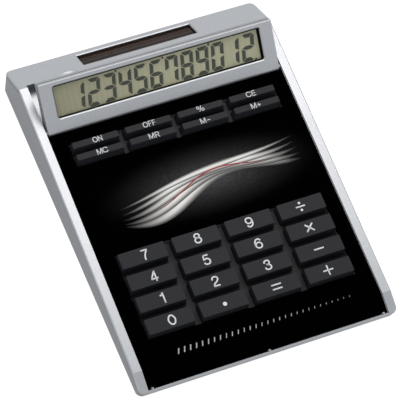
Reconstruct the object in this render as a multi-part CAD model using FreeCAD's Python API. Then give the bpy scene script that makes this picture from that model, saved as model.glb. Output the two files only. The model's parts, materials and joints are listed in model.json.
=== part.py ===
import FreeCAD, Part
import math
import os

# Desk calculator with a fold-up display. Millimetres, +Z up, +X to the right, +Y to the rear.
# The origin lies on the table under the middle of the case.
# Sizes of the key panel run along the sloping panel, from its front edge, or square to it.

V = FreeCAD.Vector

# Case outline
CASE_WIDTH = 105.0
CORNER_RADIUS = 2.5     # upright corners
PANEL_SLOPE = 5.6       # degrees, panel to table
PANEL_RISE = 6.9        # panel plane over the underside, at the front edge
LIP_LENGTH = 7.3        # bent front lip of the panel
LIP_DROP = 2.1          # lip's front edge under the panel plane
FRONT_UNDERCUT = 1.3    # foot of the front wall behind its top
DECK_ANGLE = 36.8       # degrees, rear deck to panel
DECK_LENGTH = 17.2      # ridge to rear edge
EDGE_CHAMFER = 0.4      # outer edges of the top

# Walls and fits
WALL = 1.6
FLOOR = 1.6
TOP_WALL = 1.6
RIM = 1.1               # edge of the upper case above the joint line
REVEAL = 0.4            # shadow groove along the joint line
TONGUE = 1.2            # rib of the upper case inside the lower case's walls
TONGUE_REACH = 2.0
SLIP = 0.25             # clearance of pieces put together
MARGIN = 5.0            # how far a cutting block runs past what it cuts
UPRIGHT = 0.9           # an edge that rises by this share of its length counts as upright

# Clear cover, printed card and the shelf that carries them
RAIL = 3.63             # case top beside the cover
FRONT_RIM = 0.7         # case top in front of the cover
COVER = 0.6
CARD = 0.2
SHELF = 1.2
CATCH_WIDTH = 0.6       # catches that hold the cover's front edge
CATCH_LENGTH = 0.8
CATCH_INSET = 1.9       # outer catches from the cover's sides

# Keys: tops, how far their sides spread down to the key frame, and places
COLUMNS = 4
KEY_MARGIN = 7.19       # outer key tops from the panel's sides
TRAVEL = 1.0
KEY_CORNER = 0.7
KEY_EDGE = 0.2
KEY_GAP = 0.22          # key to frame
FRAME_FLANGE = 1.2      # frame edge under the shelf
FRAME_THICKNESS = 0.6
KEY_CATCH = 0.3         # key's foot wider than the frame's opening
KEY_FOOT = 0.6
FOOT_GAP = 0.1          # key's foot under the frame at rest
MAT = 0.5
DOME_TOP = 1.1          # half widths of a dome
DOME_FOOT = 1.6

NUMBER_ROWS = (("0", "point", "equals", "plus"), ("1", "2", "3", "minus"),
               ("4", "5", "6", "times"), ("7", "8", "9", "divide"))
NUMBER_GAP = 3.15       # between key tops of one row
NUMBER_DEPTH = 6.3      # key top, front to rear
NUMBER_HEIGHT = 2.28    # key top over the panel plane
NUMBER_FRONT_SLOPE = 0.3
NUMBER_REAR_SLOPE = 0.15
NUMBER_SIDE_SLOPE = 0.1
NUMBER_FIRST_ROW = 21.7
NUMBER_PITCH = 9.17

FUNCTION_ROWS = (("mc", "mr", "m_minus", "m_plus"), ("on", "off", "percent", "ce"))
FUNCTION_GAP = 2.98
FUNCTION_DEPTH = 2.56
FUNCTION_HEIGHT = 2.15
FUNCTION_FRONT_SLOPE = 1.0
FUNCTION_REAR_SLOPE = 0.15
FUNCTION_SIDE_SLOPE = 0.4
FUNCTION_SETBACK = 14.5 # first row in front of the display's hinge
FUNCTION_PITCH = 5.15

# Display, which turns about its front edge
HINGE_Y = 108.8
HINGE_DEPTH = 1.5       # hinge axis under the display's face, and the round of its front edge
DISPLAY_TILT = 41.0     # degrees, face to panel at rest
DISPLAY_SIDE_GAP = 0.72 # display to the tray's sides
DISPLAY_REACH = 19.65   # hinge axis to the far edge
DISPLAY_THICKNESS = 5.0
BEZEL_DEPTH = 1.9       # front shell's flank
DISPLAY_FACE = 1.2
DISPLAY_WALL = 1.2
DISPLAY_ROUND = 0.45
GROOVE_WIDTH = 0.8      # groove between the display's shells
GROOVE_DEPTH = 0.6
WINDOW_SIDE = 5.4       # bezel beside the window
WINDOW_LOW = 4.8        # window's lower edge from the hinge axis
WINDOW_TOP = 1.95       # bezel above the window
WINDOW_CORNER = 0.8
WINDOW_CHAMFER = 0.4
WINDOW_LEDGE = 0.7
WINDOW_SHEET = 0.8
GLASS = 1.5
GLASS_FOOT = 1.6        # glass below the window's lower edge
STUB_RADIUS = 0.9
STUB_LENGTH = 1.9
RUNNING_FIT = 0.06
SWING_GAP = 0.3         # display's front edge to the cover and tray
TIP_GAP = 0.45          # folded display to the ridge
TRAY_DEPTH = 6.5
TRAY_WALL = 1.2
TRAY_OVERRUN = 1.3      # tray's rear end behind the ridge
HINGE_WALL = 1.6
RIBBON_WIDTH = 24.0
RIBBON = 0.15
RIBBON_SLOT = 2.0
RIBBON_PLAY = 1.0       # slots wider than the ribbon, on each side
RIBBON_PLACE = 2.4      # slot in the tray's floor behind the hinge axis

# Thumb notch in the deck's front edge, cut by a ball
NOTCH_INSET = 21.1      # middle of the ball from the left side
NOTCH_RADIUS = 9.7
NOTCH_LEAD = 2.0        # middle of the ball in front of the ridge
NOTCH_RISE = 8.0        # middle of the ball over the deck

# Solar cell in the deck
SOLAR_SIDE = 28.75      # solar opening from the sides
SOLAR_DEPTH = 9.2
SOLAR_PLACE = 9.7       # middle of the cell from the ridge
SOLAR_RECESS = 0.55
SOLAR_FLARE = 0.35      # solar opening wider at the deck's surface
SOLAR_LEDGE = 0.6
SOLAR_SHEET = 0.8
SOLAR_CELL = 1.0
LEAD = 0.5
LEAD_WIDTH = 1.2
LEAD_SPACING = 4.0
LEAD_INSET = 3.0        # outer lead inside the solar opening's end
LEAD_DROP = 4.0         # leads under the tray

# Board, battery and fasteners
BOARD = 1.2
BOARD_MARGIN = 2.4      # board's sides inside the panel's
BOARD_HOLE_INSET = 5.5  # board screws from the board's sides
BOARD_HOLE_ROWS = (62.0, 84.0)
BOSS = 4.6              # square bosses of the board and door screws
CHIP_Y = 72.0
CHIP = 10.0
CHIP_HEIGHT = 1.5
CELL_X = 24.0
CELL_Y = 74.0
CELL_RADIUS = 5.8
CELL_HEIGHT = 3.05
CLIP_WIDTH = 4.0
CLIP = 0.3
DOOR_WIDTH = 22.0
DOOR_DEPTH = 24.0
DOOR_LEDGE = 1.5
DOOR_SCREW_INSET = 3.4
SCREW_RADIUS = 0.9
SCREW_HOLE = 0.95
SCREW_PASSAGE = 1.2
SCREW_HEAD = 1.9
SCREW_HEAD_HEIGHT = 1.0
SCREW_SINK = 1.4        # head's seat in the lower case's posts
SCREW_BITE = 2.6        # thread in the upper case
POST = 5.8              # square posts and bosses of the case screws
POST_HEIGHT = 3.4
POST_SIDE = 7.5         # posts from the sides
POST_FRONT = 10.4       # front posts from the front wall
POST_REAR = 8.5         # rear posts from the rear wall
DRIVE_WIDTH = 0.45
DRIVE_LENGTH = 2.0
DRIVE_DEPTH = 0.6
FOOT_RADIUS = 4.0
FOOT_STANDING = 1.0     # feet under the case
FOOT_SIDE = 10.5        # feet from the sides
FOOT_INSET = 21.0       # feet from the front and rear walls
RIB = 1.2
RIB_INSET = 11.5        # ribs' ends inside the board's sides
RIB_ROWS = (30.0, 50.0, 96.0)

# Widths that follow the case and display, and depths under the panel plane down to the board
HALF_PANEL = CASE_WIDTH / 2 - RAIL
COLUMN_PITCH = (2 * (HALF_PANEL - KEY_MARGIN) + NUMBER_GAP) / COLUMNS
HALF_BOARD = HALF_PANEL - BOARD_MARGIN
HALF_SOLAR = CASE_WIDTH / 2 - SOLAR_SIDE
DISPLAY_WIDTH = 2 * (HALF_PANEL - DISPLAY_SIDE_GAP)
WINDOW_WIDTH = DISPLAY_WIDTH - 2 * WINDOW_SIDE
WINDOW_HEIGHT = DISPLAY_REACH - WINDOW_LOW - WINDOW_TOP
CARD_TOP = COVER
SHELF_TOP = COVER + CARD
SHELF_BOTTOM = SHELF_TOP + SHELF
FRAME_BOTTOM = SHELF_BOTTOM + FRAME_THICKNESS
KEY_BOTTOM = FRAME_BOTTOM + FOOT_GAP + KEY_FOOT
MAT_TOP = KEY_BOTTOM + TRAVEL + FOOT_GAP
BOARD_TOP = MAT_TOP + MAT
BOARD_BOTTOM = BOARD_TOP + BOARD
TRAY_FRONT = HINGE_Y - HINGE_DEPTH - SWING_GAP
RIDGE_Y = HINGE_Y + DISPLAY_REACH + TIP_GAP
RIBBON_Y = HINGE_Y + RIBBON_PLACE

# Direction of the lip, and the case's front edge before the cover, both in the panel frame
LIP = V(0, LIP_LENGTH, LIP_DROP).normalize()
LIP_FRONT = V(0, 0, -LIP_DROP) - LIP * (FRONT_RIM + SLIP)


def turned_frame(degrees, y, z):
    """Frame turned about X, with its origin at a point of the side view."""
    return FreeCAD.Placement(V(0, y, z), FreeCAD.Rotation(V(1, 0, 0), degrees))


def panel_frame():
    """Frame of the key panel, placed so that the case is centred on the origin."""
    slope = math.radians(PANEL_SLOPE)
    raised = turned_frame(PANEL_SLOPE, -PANEL_RISE * math.sin(slope), PANEL_RISE * math.cos(slope))
    deck = raised.multiply(turned_frame(-DECK_ANGLE, RIDGE_Y, 0))
    front = raised.multVec(LIP_FRONT).y
    rear = deck.multVec(V(0, DECK_LENGTH, 0)).y
    return FreeCAD.Placement(V(0, -(front + rear) / 2, FOOT_STANDING), FreeCAD.Rotation()).multiply(raised)


PANEL = panel_frame()
DECK = PANEL.multiply(turned_frame(-DECK_ANGLE, RIDGE_Y, 0))
DISPLAY = PANEL.multiply(turned_frame(DISPLAY_TILT, HINGE_Y, -HINGE_DEPTH))

# Side view of the case, from the lower front corner round to the front edge
FRONT_EDGE = PANEL.multVec(LIP_FRONT)
BEND = PANEL.multVec(V(0, LIP_LENGTH, 0))
RIDGE = PANEL.multVec(V(0, RIDGE_Y, 0))
REAR_EDGE = DECK.multVec(V(0, DECK_LENGTH, 0))
OUTLINE = [V(0, FRONT_EDGE.y + FRONT_UNDERCUT, FOOT_STANDING), V(0, REAR_EDGE.y, FOOT_STANDING),
           REAR_EDGE, RIDGE, BEND, FRONT_EDGE]


def placed(shape, frame):
    """Shape drawn in a frame, moved to its place on the table."""
    moved = shape.copy()
    moved.Placement = frame.multiply(moved.Placement)
    return moved


def box(x, y, z):
    """Box between three pairs of limits."""
    return Part.makeBox(x[1] - x[0], y[1] - y[0], z[1] - z[0], V(x[0], y[0], z[0]))


def both(half):
    """Limits at equal distances on both sides."""
    return (-half, half)


def around(middle, half):
    """Limits at equal distances from a middle."""
    return (middle - half, middle + half)


def cylinder(radius, x, y, z):
    """Upright cylinder between two heights."""
    return Part.makeCylinder(radius, z[1] - z[0], V(x, y, z[0]))


def square_block(width, x, y, z):
    """Upright square block between two heights."""
    return box(around(x, width / 2), around(y, width / 2), z)


def cross_cylinder(radius, x, y, z):
    """Cylinder along X between two limits."""
    return Part.makeCylinder(radius, x[1] - x[0], V(x[0], y, z), V(1, 0, 0))


def upright_edges(shape):
    """Edges that run along Z, or nearly so."""
    return [edge for edge in shape.Edges if abs(edge.tangentAt(edge.FirstParameter).z) > UPRIGHT]


def rounded_box(x, y, z, radius):
    """Box with rounded upright edges."""
    block = box(x, y, z)
    return block.makeFillet(radius, upright_edges(block))


def joined(shapes):
    """One solid from touching shapes."""
    return shapes[0].multiFuse(shapes[1:]).removeSplitter()


def prism(points, half_width):
    """Solid across X with the given side view."""
    ring = [V(-half_width, point.y, point.z) for point in points]
    return Part.Face(Part.makePolygon(ring + ring[:1])).extrude(V(2 * half_width, 0, 0))


def shifted_line(start, end, distance):
    """Line through two points of a side view, moved to its left, as a point and a direction."""
    along = (end - start).normalize()
    return start + V(0, -along.z, along.y) * distance, along


def crossing(first, second):
    """Point where two lines of a side view cross."""
    (start, along), (other, other_along) = first, second
    between = other - start
    turn = along.y * other_along.z - along.z * other_along.y
    return start + along * ((between.y * other_along.z - between.z * other_along.y) / turn)


def offset_path(points, distance):
    """Path beside a bent path of a side view, on its left."""
    lines = [shifted_line(start, end, distance) for start, end in zip(points, points[1:])]
    corners = [crossing(first, second) for first, second in zip(lines, lines[1:])]
    last = shifted_line(points[-1], points[-2], -distance)[0]
    return [lines[0][0]] + corners + [last]


def bent_sheet(front_gap, top, bottom, half_width):
    """Sheet between two depths that follows the panel and its front lip."""
    path = [LIP_FRONT + LIP * front_gap, V(0, LIP_LENGTH, 0), V(0, TRAY_FRONT, 0)]
    return prism(offset_path(path, -top) + offset_path(path, -bottom)[::-1], half_width)


def case_block(sides=0.0, top=0.0, base=0.0):
    """Solid inside the case's outline, with its walls, top and underside moved inwards."""
    insets = [base, sides, top, top, top, sides]
    ends = OUTLINE[1:] + OUTLINE[:1]
    lines = [shifted_line(start, end, inset) for start, end, inset in zip(OUTLINE, ends, insets)]
    points = [crossing(lines[i - 1], lines[i]) for i in range(len(lines))]
    block = prism(points, CASE_WIDTH / 2 - sides)
    return block.makeFillet(max(CORNER_RADIUS - sides, EDGE_CHAMFER), upright_edges(block))


def below(depth):
    """Everything deeper under the case's top than a depth."""
    return case_block(sides=-MARGIN, top=depth, base=-MARGIN)


def edges_broken(block):
    """Case block with its outer top edges chamfered."""
    edges = []
    for edge in block.Edges:
        ends = edge.BoundBox
        cross_fold = ends.YLength < SLIP and min(abs(ends.YMin - RIDGE.y), abs(ends.YMin - BEND.y)) < SLIP
        if ends.ZMin > FOOT_STANDING + EDGE_CHAMFER and not cross_fold:
            edges.append(edge)
    uprights = upright_edges(block)
    return block.makeChamfer(EDGE_CHAMFER, [e for e in edges if not any(e.isSame(u) for u in uprights)])


class KeyBlock:
    """Rows of like keys that share one window of the panel."""

    def __init__(self, rows, gap, depth, height, front_slope, rear_slope, side_slope, first_row, pitch):
        self.rows = rows
        self.top = (COLUMN_PITCH - gap, depth)
        self.height = height
        self.pitch = pitch
        self.first_row = first_row
        self.width = self.top[0] + 2 * side_slope
        self.depth = depth + front_slope + rear_slope
        self.shift = (rear_slope - front_slope) / 2
        self.middle = first_row + pitch * (len(rows) - 1) / 2 + self.shift
        self.half_width = (COLUMN_PITCH * (COLUMNS - 1) + self.width) / 2 + KEY_GAP
        self.half_depth = (pitch * (len(rows) - 1) + self.depth) / 2 + KEY_GAP

    def places(self):
        """Name and middle of each key."""
        for row, names in enumerate(self.rows):
            for column, name in enumerate(names):
                yield name, (column - (COLUMNS - 1) / 2) * COLUMN_PITCH, self.first_row + row * self.pitch

    def window(self, clearance, z):
        """Block through the window of the cover, card and shelf."""
        return box(both(self.half_width + clearance), around(self.middle, self.half_depth + clearance), z)


NUMBERS = KeyBlock(NUMBER_ROWS, NUMBER_GAP, NUMBER_DEPTH, NUMBER_HEIGHT, NUMBER_FRONT_SLOPE,
                   NUMBER_REAR_SLOPE, NUMBER_SIDE_SLOPE, NUMBER_FIRST_ROW, NUMBER_PITCH)
FUNCTIONS = KeyBlock(FUNCTION_ROWS, FUNCTION_GAP, FUNCTION_DEPTH, FUNCTION_HEIGHT, FUNCTION_FRONT_SLOPE,
                     FUNCTION_REAR_SLOPE, FUNCTION_SIDE_SLOPE, HINGE_Y - FUNCTION_SETBACK, FUNCTION_PITCH)


def cut_corner_ring(x, y, z, width, depth, corner):
    """Level rectangle with cut corners, as a list of points."""
    far_x, far_y = width / 2, depth / 2
    near_x, near_y = far_x - corner, far_y - corner
    quarter = [(far_x, near_y), (near_x, far_y)]
    half = quarter + [(-across, along) for across, along in quarter[::-1]]
    ring = half + [(-across, -along) for across, along in half]
    return [V(x + across, y + along, z) for across, along in ring]


def stacked(rings):
    """Solid with flat faces through level rings of equally many points, from the lowest up."""
    faces = [Part.Face(Part.makePolygon(ring + ring[:1])) for ring in (rings[0], rings[-1])]
    for low, high in zip(rings, rings[1:]):
        for i in range(len(low)):
            side = [low[i - 1], low[i], high[i], high[i - 1]]
            faces.append(Part.Face(Part.makePolygon(side + side[:1])))
    return Part.Solid(Part.Shell(faces))


def make_key(block, x, y):
    """Key with sloping sides, a shank through the frame and a foot that keeps it in."""
    base_y = y + block.shift
    width, depth = block.top
    edge_width, edge_depth = width - 2 * KEY_EDGE, depth - 2 * KEY_EDGE
    head = stacked([cut_corner_ring(x, base_y, -KEY_BOTTOM, block.width, block.depth, KEY_CORNER),
                    cut_corner_ring(x, base_y, -SHELF_BOTTOM, block.width, block.depth, KEY_CORNER),
                    cut_corner_ring(x, y, block.height - KEY_EDGE, width, depth, KEY_CORNER),
                    cut_corner_ring(x, y, block.height, edge_width, edge_depth, KEY_CORNER - KEY_EDGE)])
    spread = KEY_GAP + KEY_CATCH
    foot = box(around(x, block.width / 2 + spread), around(base_y, block.depth / 2 + spread),
               (-KEY_BOTTOM, -KEY_BOTTOM + KEY_FOOT))
    return placed(joined([head, foot]), PANEL)


def make_key_frame(block):
    """Plate under the shelf with an opening for each key."""
    plate = block.window(FRAME_FLANGE, (-FRAME_BOTTOM, -SHELF_BOTTOM))
    half_width, half_depth = block.width / 2 + KEY_GAP, block.depth / 2 + KEY_GAP
    openings = [box(around(x, half_width), around(y + block.shift, half_depth), both(CASE_WIDTH))
                for name, x, y in block.places()]
    return placed(plate.cut(openings), PANEL)


def square_dome(x, y, low, high, foot, top):
    """Block that narrows from a square foot to a square top."""
    corners = [(-1, -1), (1, -1), (1, 1), (-1, 1)]
    return stacked([[V(x + side * half, y + end * half, z) for side, end in corners]
                    for z, half in ((low, foot), (high, top))])


def make_key_mat(block):
    """Rubber sheet with a hollow dome under each key."""
    sheet = block.window(FRAME_FLANGE, (-BOARD_TOP, -MAT_TOP))
    domes, hollows = [], []
    for name, x, y in block.places():
        y += block.shift
        domes.append(square_dome(x, y, -MAT_TOP, -KEY_BOTTOM, DOME_FOOT, DOME_TOP))
        hollows.append(square_dome(x, y, -BOARD_TOP, -KEY_BOTTOM - MAT, DOME_FOOT - MAT / 2, DOME_TOP - MAT))
    return placed(joined([sheet] + domes).cut(hollows), PANEL)


def catch_places():
    """Middle of each catch along the cover's front edge."""
    outer = HALF_PANEL - CATCH_INSET
    return (-outer, 0, outer)


def front_catch(x, clearance):
    """Small tooth of the front rim, drawn in the panel frame."""
    sheet = bent_sheet(FRONT_RIM - SLIP, -clearance, SHELF_TOP, CATCH_WIDTH / 2 + clearance)
    sheet.translate(V(x, 0, 0))
    reach = (LIP_FRONT.y, LIP_FRONT.y + FRONT_RIM + CATCH_LENGTH + clearance)
    return sheet.common(box(around(x, CATCH_WIDTH), reach, both(LIP_DROP + SHELF_BOTTOM)))


def make_cover():
    """Clear sheet over the card, bent at the lip, with both key windows."""
    sheet = bent_sheet(FRONT_RIM + SLIP, 0, COVER, HALF_PANEL - SLIP)
    cuts = [block.window(SLIP, (-COVER - MARGIN, MARGIN)) for block in (NUMBERS, FUNCTIONS)]
    cuts += [front_catch(x, SLIP) for x in catch_places()]
    return placed(sheet.cut(cuts), PANEL)


def make_card():
    """Printed card under the cover."""
    sheet = bent_sheet(FRONT_RIM + SLIP, CARD_TOP, SHELF_TOP, HALF_PANEL - SLIP)
    cuts = [block.window(SLIP, (-COVER - MARGIN, MARGIN)) for block in (NUMBERS, FUNCTIONS)]
    cuts += [front_catch(x, SLIP) for x in catch_places()]
    return placed(sheet.cut(cuts), PANEL)


def notch_ball(extra):
    """Ball of the thumb notch behind the ridge, in the deck frame."""
    ball = Part.makeSphere(NOTCH_RADIUS + extra, V(NOTCH_INSET - CASE_WIDTH / 2, -NOTCH_LEAD, NOTCH_RISE))
    return ball.common(box(both(CASE_WIDTH), (0, DECK_LENGTH), both(CASE_WIDTH)))


def tray_hollow():
    """Space that the folded display lies in."""
    return box(both(HALF_PANEL), (TRAY_FRONT, RIDGE_Y + TRAY_OVERRUN), (-TRAY_DEPTH, MARGIN))


def post_places():
    """Middles of the case screws on the table plan."""
    front = FRONT_EDGE.y + POST_FRONT
    rear = REAR_EDGE.y - POST_REAR
    return [(side * (CASE_WIDTH / 2 - POST_SIDE), y) for side in (-1, 1) for y in (front, rear)]


def board_places():
    """Middles of the board screws in the panel frame."""
    return [(side * (HALF_BOARD - BOARD_HOLE_INSET), y) for side in (-1, 1) for y in BOARD_HOLE_ROWS]


def solar_block(ledge, z):
    """Block under the solar opening, in the deck frame."""
    return box(both(HALF_SOLAR + ledge), around(SOLAR_PLACE, SOLAR_DEPTH / 2 + ledge), z)


def solar_opening():
    """Opening over the solar window, wider at the deck's surface, in the deck frame."""
    rings = []
    for z, spread in ((-SOLAR_RECESS, 0), (SOLAR_RECESS, 2 * SOLAR_FLARE)):
        (left, right), (front, rear) = both(HALF_SOLAR + spread), around(SOLAR_PLACE, SOLAR_DEPTH / 2 + spread)
        rings.append([V(left, front, z), V(right, front, z), V(right, rear, z), V(left, rear, z)])
    return stacked(rings)


def make_upper_case():
    """Top shell: rails, rear deck, shelf for the card, display tray and screw bosses."""
    inside = case_block(sides=WALL + SLIP, base=FLOOR + SLIP)
    rim = edges_broken(case_block()).cut(below(RIM))
    plate = inside.cut(below(TOP_WALL))
    hollow = case_block(sides=WALL + SLIP + TONGUE, top=-MARGIN, base=-MARGIN)
    tongue = inside.cut([hollow, below(TOP_WALL + TONGUE_REACH)])
    shelf = placed(bent_sheet(0, SHELF_TOP, SHELF_BOTTOM, CASE_WIDTH / 2), PANEL).common(inside)
    tray = box(both(HALF_PANEL + HINGE_WALL), (TRAY_FRONT - TRAY_WALL, RIDGE_Y + TRAY_OVERRUN + TRAY_WALL),
               (-TRAY_DEPTH - TRAY_WALL, 0))
    tray = placed(tray, PANEL).common(inside)
    notch_wall = placed(notch_ball(TRAY_WALL), DECK).common(inside)
    seat = FOOT_STANDING + POST_HEIGHT
    bosses = [square_block(POST, x, y, (seat, RIDGE.z)).common(inside) for x, y in post_places()]
    bosses += [placed(square_block(BOSS, x, y, (-BOARD_TOP, -SHELF_TOP)), PANEL) for x, y in board_places()]
    case = joined([rim, plate, tongue, shelf, tray, notch_wall] + bosses)

    pocket = bent_sheet(FRONT_RIM, -MARGIN, SHELF_TOP, HALF_PANEL)
    cuts = [pocket.cut([front_catch(x, 0) for x in catch_places()]), tray_hollow()]
    cuts += [block.window(SLIP, (-SHELF_BOTTOM - MARGIN, MARGIN)) for block in (NUMBERS, FUNCTIONS)]
    cuts += [block.window(FRAME_FLANGE + SLIP, (-BOARD_BOTTOM, -SHELF_BOTTOM))
             for block in (NUMBERS, FUNCTIONS)]
    bores = both(HALF_PANEL + HINGE_WALL)
    cuts.append(cross_cylinder(STUB_RADIUS + RUNNING_FIT, bores, HINGE_Y, -HINGE_DEPTH))
    cuts.append(box(both(RIBBON_WIDTH / 2 + RIBBON_PLAY), around(RIBBON_Y, RIBBON_SLOT / 2 + SLIP),
                    (-TRAY_DEPTH - MARGIN, -HINGE_DEPTH)))
    cuts += [cylinder(SCREW_HOLE, x, y, (-BOARD_TOP, -BOARD_TOP + SCREW_BITE)) for x, y in board_places()]
    cuts = [placed(cut, PANEL) for cut in cuts]
    cuts.append(placed(notch_ball(0), DECK))
    cuts.append(placed(solar_opening(), DECK))
    cuts.append(placed(solar_block(SOLAR_LEDGE + SLIP, (-MARGIN, -SOLAR_RECESS)), DECK))
    cuts += [cylinder(SCREW_HOLE, x, y, (seat, seat + SCREW_BITE)) for x, y in post_places()]
    return case.cut(cuts).removeSplitter()


def door_middle():
    """Middle of the battery door on the table plan."""
    under_cell = PANEL.multVec(V(CELL_X, CELL_Y, -BOARD_BOTTOM))
    return under_cell.x, under_cell.y


def door_screw_place():
    """Middle of the battery door's screw on the table plan."""
    x, y = door_middle()
    return x, y - DOOR_DEPTH / 2 + DOOR_SCREW_INSET


def door_block(spread, z):
    """Block over the battery door's plan."""
    x, y = door_middle()
    return box(around(x, DOOR_WIDTH / 2 + spread), around(y, DOOR_DEPTH / 2 + spread), z)


def make_lower_case():
    """Tub with the walls and floor, posts, ribs under the board and the battery opening."""
    base = FOOT_STANDING
    floor_top = base + FLOOR
    tub = case_block(top=RIM + REVEAL).fuse(case_block(sides=REVEAL, top=RIM))
    tub = tub.cut(case_block(sides=WALL, top=-MARGIN, base=FLOOR))
    posts = [square_block(POST, x, y, (base, base + POST_HEIGHT)) for x, y in post_places()]
    over_board = placed(box(both(CASE_WIDTH), (0, RIDGE_Y), (-BOARD_BOTTOM, CASE_WIDTH)), PANEL)
    ribs = []
    for row in RIB_ROWS:
        foot = PANEL.multVec(V(0, row, -BOARD_BOTTOM)).y
        ribs.append(box(both(HALF_BOARD - RIB_INSET), around(foot, RIB / 2), (base, RIDGE.z)).cut(over_board))
    ledge = door_block(DOOR_LEDGE, (base, floor_top + FLOOR))
    x, y = door_screw_place()
    screw_top = floor_top + FLOOR + SCREW_BITE
    door_boss = square_block(BOSS, x, y, (floor_top, screw_top))
    tub = joined([tub, ledge, door_boss] + posts + ribs)

    door_x, door_y = door_middle()
    hatch = box(around(door_x, DOOR_WIDTH / 2 - DOOR_LEDGE),
                (y + BOSS / 2, door_y + DOOR_DEPTH / 2 - DOOR_LEDGE), (base, screw_top))
    cuts = [door_block(SLIP, (base - MARGIN, floor_top)), hatch]
    cuts.append(cylinder(SCREW_HOLE, x, y, (base, screw_top - SCREW_HOLE)))
    for x, y in post_places():
        cuts.append(cylinder(SCREW_PASSAGE, x, y, (base - MARGIN, base + POST_HEIGHT + MARGIN)))
        cuts.append(cylinder(SCREW_HEAD + SLIP, x, y, (base - MARGIN, base + SCREW_SINK)))
    return tub.cut(cuts).removeSplitter()


def make_battery_door():
    """Plate that closes the battery opening, with a sunk screw hole."""
    base = FOOT_STANDING
    x, y = door_screw_place()
    cuts = [cylinder(SCREW_PASSAGE, x, y, both(CASE_WIDTH)),
            cylinder(SCREW_HEAD + SLIP, x, y, (base - MARGIN, base + SCREW_HEAD_HEIGHT))]
    return door_block(0, (base, base + FLOOR)).cut(cuts)


def screw(x, y, seat, length):
    """Cross-head screw with its head under the seat and its thread above it."""
    head = cylinder(SCREW_HEAD, x, y, (seat - SCREW_HEAD_HEIGHT, seat))
    thread = cylinder(SCREW_RADIUS, x, y, (seat, seat + length))
    drive = (seat - SCREW_HEAD_HEIGHT, seat - SCREW_HEAD_HEIGHT + DRIVE_DEPTH)
    slots = [box(around(x, DRIVE_LENGTH / 2), around(y, DRIVE_WIDTH / 2), drive),
             box(around(x, DRIVE_WIDTH / 2), around(y, DRIVE_LENGTH / 2), drive)]
    return joined([head, thread]).cut(slots)


def make_case_screws():
    """Screws from the underside into the upper case."""
    seat = FOOT_STANDING + SCREW_SINK
    length = POST_HEIGHT - SCREW_SINK + SCREW_BITE - SLIP
    return Part.makeCompound([screw(x, y, seat, length) for x, y in post_places()])


def make_board_screws():
    """Screws through the board into the upper case."""
    length = BOARD + SCREW_BITE - SLIP
    return Part.makeCompound([placed(screw(x, y, -BOARD_BOTTOM, length), PANEL) for x, y in board_places()])


def make_door_screw():
    """Screw of the battery door."""
    seat = FOOT_STANDING + SCREW_HEAD_HEIGHT
    return screw(*door_screw_place(), seat, 2 * FLOOR - SCREW_HEAD_HEIGHT + SCREW_BITE - 2 * SCREW_HOLE)


def foot_places():
    """Middles of the feet on the table plan."""
    rows = (FRONT_EDGE.y + FOOT_INSET, REAR_EDGE.y - FOOT_INSET)
    return [(side * (CASE_WIDTH / 2 - FOOT_SIDE), y) for side in (-1, 1) for y in rows]


def make_feet():
    """Rubber discs under the case."""
    return Part.makeCompound([cylinder(FOOT_RADIUS, x, y, (0, FOOT_STANDING)) for x, y in foot_places()])


def board_limits():
    """Front and rear edge of the board, in the panel frame."""
    return (NUMBERS.middle - NUMBERS.half_depth - FRAME_FLANGE,
            FUNCTIONS.middle + FUNCTIONS.half_depth + FRAME_FLANGE)


def make_board():
    """Circuit board under the key mats."""
    plate = box(both(HALF_BOARD), board_limits(), (-BOARD_BOTTOM, -BOARD_TOP))
    holes = [cylinder(SCREW_PASSAGE, x, y, both(CASE_WIDTH)) for x, y in board_places()]
    return placed(plate.cut(holes), PANEL)


def make_chip():
    """Chip package on the board's underside."""
    return placed(square_block(CHIP, 0, CHIP_Y, (-BOARD_BOTTOM - CHIP_HEIGHT, -BOARD_BOTTOM)), PANEL)


def make_button_cell():
    """Button cell against the board's underside."""
    return placed(cylinder(CELL_RADIUS, CELL_X, CELL_Y, (-BOARD_BOTTOM - CELL_HEIGHT, -BOARD_BOTTOM)), PANEL)


def make_battery_clip():
    """Spring strap that holds the cell to the board."""
    reach = CELL_RADIUS + SLIP
    under = -BOARD_BOTTOM - CELL_HEIGHT
    y = around(CELL_Y, CLIP_WIDTH / 2)
    strap = box(around(CELL_X, reach + CLIP), y, (under - CLIP, under))
    legs = [box((CELL_X + reach, CELL_X + reach + CLIP), y, (under, -BOARD_BOTTOM)),
            box((CELL_X - reach - CLIP, CELL_X - reach), y, (under, -BOARD_BOTTOM))]
    return placed(joined([strap] + legs), PANEL)


def make_solar_window():
    """Clear sheet under the deck's opening."""
    return placed(solar_block(SOLAR_LEDGE, (-SOLAR_RECESS - SOLAR_SHEET, -SOLAR_RECESS)), DECK)


def make_solar_cell():
    """Solar cell behind its window."""
    top = -SOLAR_RECESS - SOLAR_SHEET
    return placed(solar_block(SOLAR_LEDGE, (top - SOLAR_CELL, top)), DECK)


def strip(path, thickness, x):
    """Flat strip along a path of the side view, between two sides, in the panel frame."""
    outline = offset_path(path, thickness / 2) + offset_path(path, -thickness / 2)[::-1]
    flat = prism(outline, (x[1] - x[0]) / 2)
    flat.translate(V((x[0] + x[1]) / 2, 0, 0))
    return flat


def make_solar_leads():
    """Two flat leads from the solar cell, under the tray, to the board."""
    deck = turned_frame(-DECK_ANGLE, RIDGE_Y, 0)
    cell_back = deck.multVec(V(0, SOLAR_PLACE, -SOLAR_RECESS - SOLAR_SHEET - SOLAR_CELL))
    low = -TRAY_DEPTH - TRAY_WALL - LEAD_DROP
    board_rear = board_limits()[1] - LEAD_DROP
    path = [cell_back, V(0, cell_back.y, low), V(0, board_rear, low), V(0, board_rear, -BOARD_BOTTOM)]
    outer = HALF_SOLAR - LEAD_INSET
    leads = []
    for x in (outer - LEAD_SPACING, outer):
        leads.append(placed(strip(path, LEAD, around(x, LEAD_WIDTH / 2)), PANEL).cut(make_solar_cell()))
    return Part.makeCompound(leads)


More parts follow.
